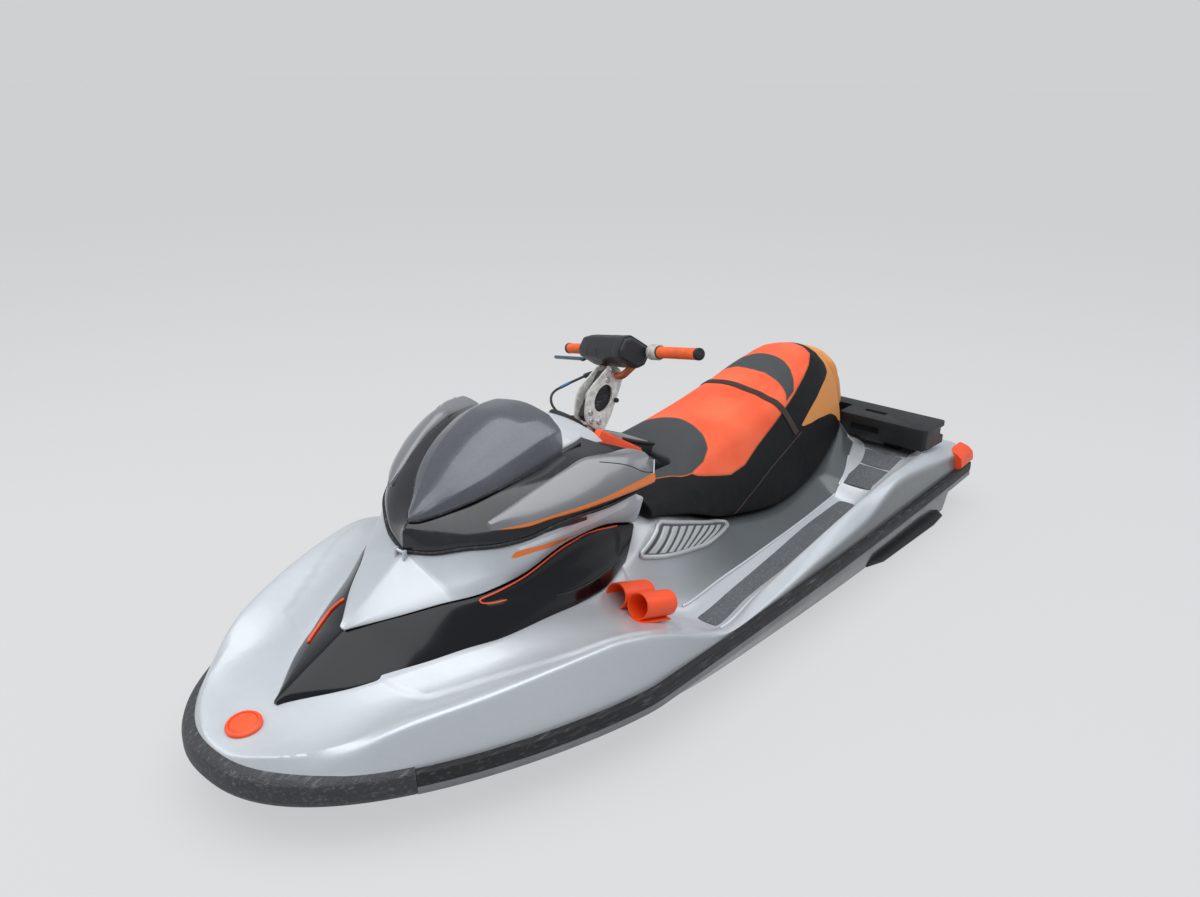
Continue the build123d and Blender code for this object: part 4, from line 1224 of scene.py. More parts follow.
def pressed(piece: Piece, zone: Zone, depth: float, width: float) -> Piece:
    """Pushes a zone in along the surface's normals, or out if the depth is negative.

    Args:
        piece: Piece with that zone marked.
        zone: Zone to push.
        depth: Depth in metres.
        width: Width of the slope at the zone's edge.

    Returns:
        The same piece.
    """
    data = piece.data
    gap = np.zeros(len(data.vertices))
    data.attributes[zone.value].data.foreach_get("value", gap)
    normals = np.zeros(len(data.vertices) * 3)
    data.vertices.foreach_get("normal", normals)
    inwards = normals.reshape(-1, 3) * (eased(0.5 - gap / width) * depth)[:, None]
    return placed(piece, coordinates(piece) - inwards)


def side_places(piece: Piece) -> np.ndarray:
    """Each vertex's x and z."""
    return coordinates(piece)[:, [0, 2]]


def plan_places(piece: Piece) -> np.ndarray:
    """Each vertex's x and distance from the centre line."""
    places = coordinates(piece)
    return np.stack([places[:, 0], np.abs(places[:, 1])], axis=1)


HOLD_FADE = 0.03


def puffed(piece: Piece, voxel: float, pressure: float, cap: float, hold_below: float) -> Piece:
    """Swells a padded piece as its foam does, with a short cloth simulation.

    Args:
        piece: Closed mesh, a little smaller than the finished pad.
        voxel: Size of the remesh in metres.
        pressure: Pressure inside.
        cap: Furthest that a point may move.
        hold_below: Height under which nothing moves.

    Returns:
        The same piece.
    """
    remesh = piece.modifiers.new("remesh", "REMESH")
    remesh.mode, remesh.voxel_size, remesh.use_smooth_shade = "VOXEL", voxel, True
    applied(piece, None)
    start = coordinates(piece)
    cloth = piece.modifiers.new("cloth", "CLOTH")
    cloth.settings.use_pressure, cloth.settings.uniform_pressure_force = True, pressure
    cloth.settings.effector_weights.gravity = 0.0
    cloth.settings.quality, cloth.settings.mass = 4, 0.3
    for frame_number in range(1, 21):
        bpy.context.scene.frame_set(frame_number)
    applied(piece, None)
    bpy.context.scene.frame_set(1)
    drift = coordinates(piece) - start
    capped = np.minimum(1.0, cap / np.maximum(np.linalg.norm(drift, axis=1), 1e-9))
    held = np.clip((start[:, 2] - hold_below) / HOLD_FADE, 0.0, 1.0)
    placed(piece, start + drift * (capped * held)[:, None])
    return subdivided(piece, 1)


def revolved(
    name: str, profile: Sequence[Point], place: Sequence[float], axis: Sequence[float], steps: int = 48
) -> Piece:
    """Round piece spun from a profile.

    Args:
        name: Name of the piece.
        profile: Closed outline as radius and height along the axis, in metres.
        place: Where height 0 lies.
        axis: Direction of the axis.
        steps: Facets round it.

    Returns:
        The new piece.
    """
    mesh = bmesh.new()
    verts = [mesh.verts.new((radius, 0.0, height)) for radius, height in profile]
    edges = [mesh.edges.new(pair) for pair in zip(verts, verts[1:] + verts[:1])]
    circle = {"cent": (0, 0, 0), "axis": (0, 0, 1), "angle": 2.0 * math.pi}
    bmesh.ops.spin(mesh, geom=verts + edges, steps=steps, use_merge=True, **circle)
    turn = Vector(axis).to_track_quat("Z", "Y").to_matrix().to_4x4()
    bmesh.ops.transform(mesh, matrix=Matrix.Translation(place) @ turn, verts=mesh.verts)
    piece = new_object(name, mesh)
    piece.data.set_sharp_from_angle(angle=math.radians(35.0))
    return piece


def moved(piece: Piece, matrix: Matrix) -> Piece:
    """Moves a piece's mesh."""
    piece.data.transform(matrix)
    return piece


def walled(piece: Piece, outwards: Sequence[float], thick: float) -> Piece:
    """Gives a sheet a live wall on the side that looks outwards.

    Args:
        piece: Open sheet.
        outwards: Direction that most of it faces.
        thick: Thickness of the wall in metres.

    Returns:
        The same piece.
    """
    facing = Vector(outwards)
    if sum(polygon.normal.dot(facing) for polygon in piece.data.polygons) < 0.0:
        piece.data.flip_normals()
    solid = piece.modifiers.new("thick", "SOLIDIFY")
    solid.thickness, solid.offset = thick, 1.0
    return piece


def refined(name: str, node: str, width: float) -> Piece:
    """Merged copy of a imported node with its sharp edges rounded.

    Args:
        name: Name of the piece.
        node: Node to copy.
        width: Width of the rounding in metres.

    Returns:
        The new piece.
    """
    mesh = bmesh.new()
    mesh.from_mesh(frame["nodes"][node].data)
    bmesh.ops.remove_doubles(mesh, verts=mesh.verts, dist=1e-5)
    bmesh.ops.dissolve_limit(mesh, angle_limit=math.radians(1.5), verts=mesh.verts, edges=mesh.edges)
    return bevelled(new_object(name, mesh), width)


def skin_tree(piece: Piece) -> BVHTree:
    """Search tree of a piece's surface."""
    return BVHTree.FromObject(piece, bpy.context.evaluated_depsgraph_get())


def laid_point(tree: BVHTree, x: float, z: float, lift: float) -> Vector:
    """Point of the port side's surface at x and z, raised off it.

    Args:
        tree: Surface.
        x: Place along the craft.
        z: Height.
        lift: Distance off the surface.

    Returns:
        The point.
    """
    hit, normal, _, _ = tree.ray_cast(Vector((x, 1.0, z)), Vector((0.0, -1.0, 0.0)))
    if hit is None:
        hit, normal, _, _ = tree.find_nearest(Vector((x, 0.4, z)))
    return hit + normal * lift


def laid_line(tree: BVHTree, corners: Sequence[Point], lift: float, step: float = 0.012) -> list[Vector]:
    """Line through x, z corners, laid on the port side's surface.

    Args:
        tree: Surface.
        corners: Corners in the side view, in metres.
        lift: Height over the surface.
        step: Distance between the points.

    Returns:
        The points.
    """
    keys = [0.0]
    for a, b in zip(corners, corners[1:]):
        keys.append(keys[-1] + math.hypot(b[0] - a[0], b[1] - a[1]))
    across, up = tracks_of(keys, corners, 0, 1)
    parts = max(2, round(keys[-1] / step))
    return [laid_point(tree, across(key), up(key), lift) for key in evenly(0.0, keys[-1], parts)]


PATCH_DEPTH = 0.0015


def laid_patch(
    name: str, tree: BVHTree, corners: Sequence[Point], cells: tuple[int, int], thick: float
) -> Piece:
    """Thin plate laid on the port side's surface.

    Args:
        name: Name of the piece.
        tree: Surface.
        corners: Fore top, after top, after bottom and fore bottom in the side view.
        cells: Cells along and down it.
        thick: Thickness in metres.

    Returns:
        The new piece.
    """
    mesh = bmesh.new()
    bmesh.ops.create_grid(mesh, x_segments=cells[0], y_segments=cells[1], size=0.5)
    for vertex in mesh.verts:
        place = inside_quad(corners, vertex.co.x + 0.5, 0.5 - vertex.co.y)
        vertex.co = laid_point(tree, *place, -PATCH_DEPTH)
    piece = walled(new_object(name, mesh), (0.0, 1.0, 0.0), thick + PATCH_DEPTH)
    return bevelled(applied(piece), min(thick, 0.004) * 0.4)


def laid_tube(
    name: str, tree: BVHTree, corners: Sequence[Point], lift: float, radius: float, sides: int = 2
) -> Piece:
    """Tube along x, z corners on both sides' surfaces."""
    return both_sides(tube(name, laid_line(tree, corners, lift), radius, sides=sides))


def hump(
    name: str, table: Rows, side: Point, brow: Point, crest: float, radii: Sequence[float], step: float
) -> Piece:
    """Rounded hump from a table of x, half width, foot and top, in millimetres.

    Args:
        name: Name of the piece.
        table: x, half width, foot and top of each section.
        side: Middle of the side, as shares of the half width and of the height.
        brow: Brow, as a share of the half width and a height over the top.
        crest: Height of the centre line over the top.
        radii: Radius at each of the section's five points.
        step: Largest distance between rings.

    Returns:
        The new piece.
    """
    rows = []
    for x, half, low, high in table:
        middle = (half * side[0], low + (high - low) * side[1])
        top = ((half * brow[0], high + brow[1]), (0.0, high + crest))
        rows.append((x, ((0.0, low), (half, low), middle, *top)))
    return Skin(tuple(rows), tuple(radii), step).build(name)


def tilted(place: Sequence[float], along: Vector) -> Matrix:
    """Frame at a place on the centre line, with X along a direction and Y to port."""
    port = Vector((0.0, 1.0, 0.0))
    return Matrix.Translation(place) @ Matrix((along, port, along.cross(port))).transposed().to_4x4()


# Control cable


@dataclass(frozen=True)
class Cable:
    """Cable that loops out of the steering column and back into it, and its sleeve."""

    route: tuple[Place, ...] = (
        (0.044, -0.034, 0.170),
        (0.044, -0.064, 0.168),
        (0.060, -0.088, 0.140),
        (0.090, -0.104, 0.100),
        (0.118, -0.108, 0.062),
        (0.112, -0.096, 0.028),
        (0.080, -0.082, 0.010),
        (0.048, -0.070, 0.014),
        (0.020, -0.060, 0.032),
        (0.020, -0.034, 0.034),
    )
    radius: float = 0.004
    length: float = 0.33
    sleeve: Point = (0.27, 0.36)
    clamp: Point = (0.05, 0.15)

    def line(self) -> Piece:
        """Centre line as a curve.

        Returns:
            The curve.
        """
        data = bpy.data.curves.new("control_cable_line", "CURVE")
        matrix = COLUMN.matrix()
        nurbs(data, [matrix @ Vector(place) for place in self.route], 10)
        return linked("control_cable_line", data)

    def points(self, piece: Piece) -> list[Vector]:
        """Points that the curve really passes.

        Args:
            piece: The curve.

        Returns:
            The points, in order.
        """
        mesh = evaluated(piece)
        out = [vertex.co.copy() for vertex in mesh.vertices]
        bpy.data.meshes.remove(mesh)
        return out

    def cover(self, name: str, places: list[Vector], shares: Point, wall: float) -> Piece:
        """Tube round the cable between two shares of its length."""
        first, last = (round(share * (len(places) - 1)) for share in shares)
        return tube(name, places[first:last], self.radius + wall)

    def build(self) -> None:
        """Builds the cable, its sleeve and its clamp."""
        piece = self.line()
        places = self.points(piece)
        LOG.info("cable is %.4f m long", sum((b - a).length for a, b in zip(places, places[1:])))
        sleeve = self.cover("cable_sleeve", places, self.sleeve, 0.0008)
        clamp = self.cover("cable_clamp", places, self.clamp, 0.0035)
        piece.data.bevel_depth, piece.data.bevel_resolution, piece.data.use_fill_caps = self.radius, 3, True
        for part, look in ((piece, Slot.cable_black), (sleeve, Look.sleeve_blue), (clamp, Slot.cable_black)):
            part.data.materials.append(WARDROBE.of(look))
            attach(part, Body.STEERING.value)
        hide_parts("control_cable")


# Hull and deck


@dataclass(frozen=True)
class Plan:
    """Outline of the craft over its bumper, and the height of the bond line, in millimetres."""

    tip: float = 1530.0
    bow_length: float = 936.0
    half_width: float = 610.6
    bow_power: float = 1.34
    bow_root: float = 0.4425
    stern_taper: float = 58.6
    bumper: float = 22.0
    bond: float = 118.0
    fine: int = 600

    def edge(self, x: float) -> float:
        """Half width of the hull and deck inside the bumper."""
        return self.half_beam(x) - self.bumper

    def half_beam(self, x: float) -> float:
        """Half width at a place.

        Args:
            x: Place along the craft.

        Returns:
            Half width there.
        """
        gone = self.tip - x
        if gone < self.bow_length:
            share = 1.0 - max(1.0 - gone / self.bow_length, 0.0) ** self.bow_power
            return self.half_width * max(share, 0.0) ** self.bow_root
        aft = (gone - self.bow_length) / (2.0 * self.tip - self.bow_length)
        return self.half_width - self.stern_taper * aft**2

    def path(self, x_from: float, x_to: float, parts: int) -> list[Vector]:
        """Port side of the outline, spaced evenly along its length.

        Args:
            x_from: Forward end.
            x_to: After end.
            parts: Number of runs.

        Returns:
            Points in metres, with z = 0.
        """
        fine = [x_from + (x_to - x_from) * (k / self.fine) ** 1.6 for k in range(self.fine + 1)]
        points = [Vector((x, self.half_beam(x), 0.0)) for x in fine]
        lengths = [0.0]
        for a, b in zip(points, points[1:]):
            lengths.append(lengths[-1] + (b - a).length)
        even = []
        for want in evenly(0.0, lengths[-1], parts):
            index = min(max(int(np.searchsorted(lengths, want)), 1), self.fine)
            share = (want - lengths[index - 1]) / max(lengths[index] - lengths[index - 1], 1e-9)
            even.append(points[index - 1].lerp(points[index], min(max(share, 0.0), 1.0)) * MM)
        return even


PLAN = Plan()
BIN_BLOCK: Block = ((0.48, -0.15, 0.15), (0.83, 0.15, 0.75))


def swept(
    name: str, path: Sequence[Vector], section: Section, radii: Sequence[float], levels: int = 1
) -> Piece:
    """Closed section swept along a level path.

    Args:
        name: Name of the piece.
        path: Points of the path.
        section: Corners as distance outwards from the path and height, in millimetres.
        radii: Radius at each corner.
        levels: Subdivision levels.

    Returns:
        The new piece.
    """
    rings = []
    creases: list[float] = []
    for index, place in enumerate(path):
        before, after = path[max(index - 1, 0)], path[min(index + 1, len(path) - 1)]
        along = (after - before).normalized()
        outwards = Vector((along.y, -along.x, 0.0))
        points, creases = softened_ring(section, radii)
        rings.append([place + outwards * (out * MM) + Vector((0.0, 0.0, z * MM)) for out, z in points])
    return subdivided(loft(name, rings, creases), levels)


@dataclass(frozen=True)
class EdgedSkin(Skin):
    """Skin with two points of each section kept on the hull's or deck's edge.

    Attributes:
        edge_points: Numbers of the two points.
    """

    edge_points: tuple[int, int] = (1, 2)

    def section(self, tracks: list[tuple[Track, Track]], x: float) -> list[Point]:
        """Points of the section, with the two edge points in their place.

        Args:
            tracks: Smooth lines of the rows.
            x: Place along the craft.

        Returns:
            Points of the section.
        """
        points = super().section(tracks, x)
        for index in self.edge_points:
            points[index] = (PLAN.edge(x), points[index][1])
        return points


@dataclass(frozen=True)
class HullForm:
    """Vee bottom with strakes, open for the intake and the jet tunnel."""

    rows: Rows = (
        (1505, 100, 30, 108),
        (1440, 65, 80, 95),
        (1300, -15, 175, 62),
        (1050, -130, 310, 15),
        (700, -205, 420, -22),
        (200, -232, 490, -46),
        (-600, -235, 505, -52),
        (-1360, -235, 500, -53),
    )
    strake_shares: Point = (0.36, 0.66)
    strake_width: float = 20.0
    strake_depth: float = 7.0
    tunnel: Block = ((-1.4, -0.15, -0.4), (-0.93, 0.15, 0.062))
    intake: Block = ((-0.85, -0.08, -0.4), (-0.43, 0.08, -0.048))

    def section(self, keel: float, chine_y: float, chine_z: float, top: float) -> Section:
        """Section from the keel to the middle of the bond line.

        Args:
            keel: Height of the keel.
            chine_y: Half width at the chine.
            chine_z: Height of the chine.
            top: Half width at the bond line.

        Returns:
            Points of the section.
        """
        points: list[Point] = [(0.0, keel)]
        for share in self.strake_shares:
            y, z = chine_y * share, keel + (chine_z - keel) * share
            deep = self.strake_depth
            points += [(y, z), (y + 2.0, z - deep), (y + self.strake_width, z - deep * 0.2)]
        points += [(chine_y, chine_z), (chine_y + 12, chine_z + 8)]
        return (*points, (top, PLAN.bond - 8), (top, PLAN.bond), (0.0, PLAN.bond))

    def build(self) -> None:
        """Builds the hull."""
        rows = tuple((x, self.section(k, cy, cz, PLAN.edge(x))) for x, k, cy, cz in self.rows)
        radii = (0.0, *(0.0, 0.0, 0.0) * len(self.strake_shares), 6.0, 6.0, 0.0, 0.0, 0.0)
        hull = EdgedSkin(rows, radii, 60.0, edge_points=(-3, -2)).build("hull_shell", 1)
        for block in (self.tunnel, self.intake):
            cut_block(hull, block)
        finish_piece(hull, Body.CRAFT, Slot.hull_gelcoat, "hull")


@dataclass(frozen=True)
class DeckForm:
    """Deck with its side rails, coved footwells, pedestal and storage bin."""

    rows: tuple[tuple[float, Section], ...] = (
        (1515, ((81, 174), (66, 176), (50, 176), (34, 176), (18, 176))),
        (1460, ((174, 203), (149, 205), (110, 203), (70, 200), (30, 200))),
        (1380, ((255, 222), (225, 222), (190, 212), (90, 208), (40, 208))),
        (1310, ((309, 240), (280, 239), (225, 221), (50, 226), (25, 226))),
        (1188, ((381, 277), (350, 275), (255, 239), (140, 250), (126, 250))),
        (1030, ((451, 298), (420, 296), (330, 262), (232, 278), (216, 280))),
        (850, ((510, 317), (480, 313), (395, 285), (314, 302), (299, 305))),
        (700, ((546, 324), (515, 320), (455, 300), (340, 308), (322, 312))),
        (600, ((560, 307), (530, 302), (470, 290), (345, 296), (327, 310))),
        (480, ((560, 262), (533, 257), (485, 250), (330, 262), (312, 309))),
        (360, ((567, 212), (540, 208), (510, 200), (345, 214), (288, 330))),
        (220, ((594, 178), (553, 180), (540, 150), (406, 150), (280, 415))),
        (0, ((587, 190), (530, 205), (515, 150), (384, 150), (266, 345))),
        (-240, ((575, 203), (523, 240), (498, 150), (360, 150), (250, 250))),
        (-600, ((560, 225), (515, 285), (465, 150), (326, 150), (240, 190))),
        (-850, ((548, 290), (507, 308), (424, 152), (306, 152), (222, 215))),
        (-880, ((547, 292), (505, 310), (446, 200), (305, 200), (219, 222))),
        (-1080, ((541, 275), (493, 305), (458, 232), (235, 235), (190, 310))),
        (-1170, ((538, 262), (487, 297), (450, 245), (200, 246), (140, 340))),
        (-1270, ((533, 248), (482, 285), (455, 250), (150, 250), (80, 252))),
        (-1515, ((524, 215), (470, 236), (440, 235), (120, 235), (60, 236))),
    )
    bumper_top: float = 172.0
    radii: tuple[float, ...] = (0.0, 0.0, 0.0, 9.0, 12.0, 24.0, 34.0, 18.0, 0.0)
    mat_stretches: Section = ((218.0, -838.0), (-890.0, -1040.0), (-1052.0, -1168.0))
    mat_margin: float = 10.0
    step_outline: Section = (
        (1.131, 0.0), (1.131, 0.205), (1.106, 0.300), (0.997, 0.364), (0.871, 0.443), (0.782, 0.490),
        (0.668, 0.524), (0.56, 0.540), (0.45, 0.525), (0.38, 0.50), (0.36, 0.0),
    )
    step_height: float = 0.006
    mat_thick: float = 5.0
    mat_sunk: float = 3.0
    tuck_height: float = 0.168
    tuck_width: float = 0.025
    tuck_slope: float = 1.6
    tuck_run: Point = (1.24, 1.46)
    tuck_aft: float = 1230.0
    # Runs of the painted shade on the flanks and on the sides, in millimetres.
    flank_run: Point = (500.0, -1160.0)
    side_run: Point = (1200.0, -1520.0)
    cove_radius: float = 0.0042

    def lines(self) -> list[tuple[Track, Track]]:
        """Smooth lines of the crease, rail, floor outside, floor inside and plateau."""
        return Skin(self.rows, self.radii).tracks()

    def skin(self) -> Skin:
        """Whole skin with its edge and its flat bottom.

        Returns:
            The skin, not built yet.
        """
        lines = self.lines()
        places = {*evenly(1515, 1500, 3), *evenly(1500, 1200, 15), *(row[0] for row in self.rows)}
        rows = []
        for x in sorted(places, reverse=True):
            edge = PLAN.edge(x)
            points = [(y(x), z(x)) for y, z in lines]
            low = ((0.0, PLAN.bond), (edge, PLAN.bond), (edge, self.bumper_top))
            rows.append((x, (*low, *points, (0.0, points[4][1]))))
        return EdgedSkin(tuple(rows), self.radii, 36.0)

    def mats(self) -> Piece:
        """Mats on the footwell floors and the steps behind them.

        Returns:
            The new piece.
        """
        lines = self.lines()
        pieces = []
        for fore, aft in self.mat_stretches:
            rows = []
            for x in evenly(fore, aft, 14):
                (out_y, out_z), (in_y, in_z) = [(y(x), z(x)) for y, z in lines[2:4]]
                outer, inner = out_y - self.mat_margin, in_y + self.mat_margin
                low = ((inner, in_z - self.mat_sunk), (outer, out_z - self.mat_sunk))
                high = ((outer, out_z + self.mat_thick), (inner, in_z + self.mat_thick))
                rows.append((x, (*low, *high)))
            pieces.append(Skin(tuple(rows), (0.0, 0.0, 2.0, 2.0), 60.0, True).build(f"mat_{len(pieces)}", 1))
        return both_sides(joined("footwell_mat", pieces))

    def dark_zones(self) -> tuple[list[Point], list[Point]]:
        """Outlines, in plan, of the painted shade on the flanks inside the footwells and on the sides outside
        the rails.

        Returns:
            The outline of the flank's painted shade and that of the side's.
        """
        lines = self.lines()
        outlines = []
        # Painted shade: the flank's follows the floor's inner line, the side's follows the crease under the
        # rail.
        flank, side = (self.flank_run, lines[3][0], 0.0, -0.1), (self.side_run, lines[0][0], 3.0, 0.7)
        for run, line, offset, far in (flank, side):
            outline = [
                (x * MM, (line(x) - offset) * MM) for x in evenly(*run, round((run[0] - run[1]) / 20.0))
            ]
            outlines.append([*outline, (run[1] * MM, far), (run[0] * MM, far)])
        return tuple(outlines)

    def coves(self, deck: Piece) -> Piece:
        """Pale rounded edges along the mats.

        Args:
            deck: The deck.

        Returns:
            The new piece.
        """
        tree, lines, pieces = skin_tree(deck), self.lines(), []
        for fore, aft in self.mat_stretches[:2]:
            for (y, _), offset in ((lines[2], 0.0), (lines[3], -2.0)):
                places = []
                for x in evenly(fore + 12.0, aft - 8.0, 60):
                    start = Vector((x, y(x) + offset, 600.0)) * MM
                    hit, normal, _, _ = tree.ray_cast(start, Vector((0.0, 0.0, -1.0)))
                    places.append((hit or start) + (normal or Vector((0.0, 0.0, 1.0))) * 0.0005)
                pieces.append(tube(f"cove_{len(pieces)}", places, self.cove_radius, sides=2))
        return both_sides(joined("mat_coves", pieces))

    def tucked(self, deck: Piece) -> Piece:
        """Lowers the fore edge under the bow bumper, at an even distance from the outline.

        Args:
            deck: The deck.

        Returns:
            The same piece.
        """
        places = coordinates(deck)
        outline = np.array([(p.x, p.y) for p in PLAN.path(PLAN.tip - 0.01, self.tuck_aft, 200)])
        near = np.flatnonzero((places[:, 0] > self.tuck_run[0]) & (places[:, 2] > self.tuck_height))
        beyond = [outline[:, k] - np.abs(places[near, k])[:, None] for k in (0, 1)]
        gaps = np.hypot(*beyond).min(axis=1)
        share = eased((places[near, 0] - self.tuck_run[0]) / (self.tuck_run[1] - self.tuck_run[0]))
        limit = self.tuck_height + np.clip(gaps - self.tuck_width, 0.0, None) * self.tuck_slope
        places[near, 2] += np.minimum(limit - places[near, 2], 0.0) * share
        return placed(deck, places)

    def build(self) -> None:
        """Builds the deck and its mats."""
        deck = self.tucked(self.skin().build("deck_shell"))
        mark_zones(deck, plan_places(deck), self.step_outline, *self.dark_zones())
        cut_block(pressed(deck, Zone.FIRST, -self.step_height, 2.0 * self.step_height), BIN_BLOCK)
        finish_piece(self.coves(deck), Body.CRAFT, Slot.silver_gelcoat, look=Look.pale_edge)
        finish_piece(deck, Body.CRAFT, Slot.silver_gelcoat, "deck")
        finish_piece(self.mats(), Body.CRAFT, Slot.mat_foam, "footwell_mats")


@dataclass(frozen=True)
class BumperForm:
    """Rubber round the deck's edge: side bands with a pale rub strip, partly a painted highlight, and a broad
    nose.
    """

    seam_x: float = 1235.0
    stern_x: float = -1515.0
    band: Section = ((0.0, 134.0), (0.0, 168.0), (-4.0, 172.0), (-21.0, 172.0), (-21.0, 134.0))
    strip: Section = (
        (-1.0, 113.0), (-0.5, 131.0), (-4.0, 133.5), (-21.0, 133.5), (-21.0, 112.0), (-5.0, 112.0)
    )
    nose: Section = (
        (0.0, 115.0), (2.0, 136.0), (0.0, 160.0), (-9.0, 173.0), (-28.0, 180.0), (-42.0, 183.0),
        (-45.0, 177.0), (-21.5, 168.0), (-21.5, 112.0), (-12.0, 108.0),
    )
    nose_radii: tuple[float, ...] = (10.0, 10.0, 8.0, 6.0, 6.0, 3.0, 2.0, 0.0, 0.0, 5.0)
    cap: Section = (
        (2.0, 172.0), (2.0, 206.0), (-10.0, 226.0), (-36.0, 238.0), (-64.0, 243.0), (-68.0, 226.0),
        (-34.0, 204.0), (-30.0, 172.0),
    )
    cap_radii: tuple[float, ...] = (8.0, 16.0, 18.0, 18.0, 6.0, 0.0, 0.0, 0.0)
    cap_run: Point = (-1396.0, -1524.0)

    def side(self, name: str, section: Section, radii: Sequence[float]) -> Piece:
        """Band along both sides."""
        return both_sides(swept(name, PLAN.path(self.seam_x, self.stern_x, 90), section, radii))

    def build(self) -> None:
        """Builds the bumpers."""
        band = self.side("side_band", self.band, (2.0, 2.0, 2.0, 0.0, 0.0))
        finish_piece(band, Body.CRAFT, Slot.black_rubber, "side_bumpers")
        # Its pale grey is partly the strip's own colour and partly a painted highlight.
        strip = self.side("rub_strip", self.strip, (3.0, 2.0, 1.0, 0.0, 0.0, 3.0))
        finish_piece(strip, Body.CRAFT, Slot.black_rubber, "side_bumpers", look=Look.rub_strip)
        port = PLAN.path(PLAN.tip - 0.01, self.seam_x + 1.0, 40)
        nose = swept("bow_nose", whole_ring(port), self.nose, self.nose_radii, 2)
        finish_piece(nose, Body.CRAFT, Slot.black_rubber, "bow_bumper", look=Look.nose_rubber)
        corner = swept("corner_wedge", PLAN.path(*self.cap_run, 16), self.cap, self.cap_radii, 2)
        finish_piece(both_sides(corner), Body.CRAFT, Slot.orange_plastic, "corner_caps")


# Nose, hood and mirror pods


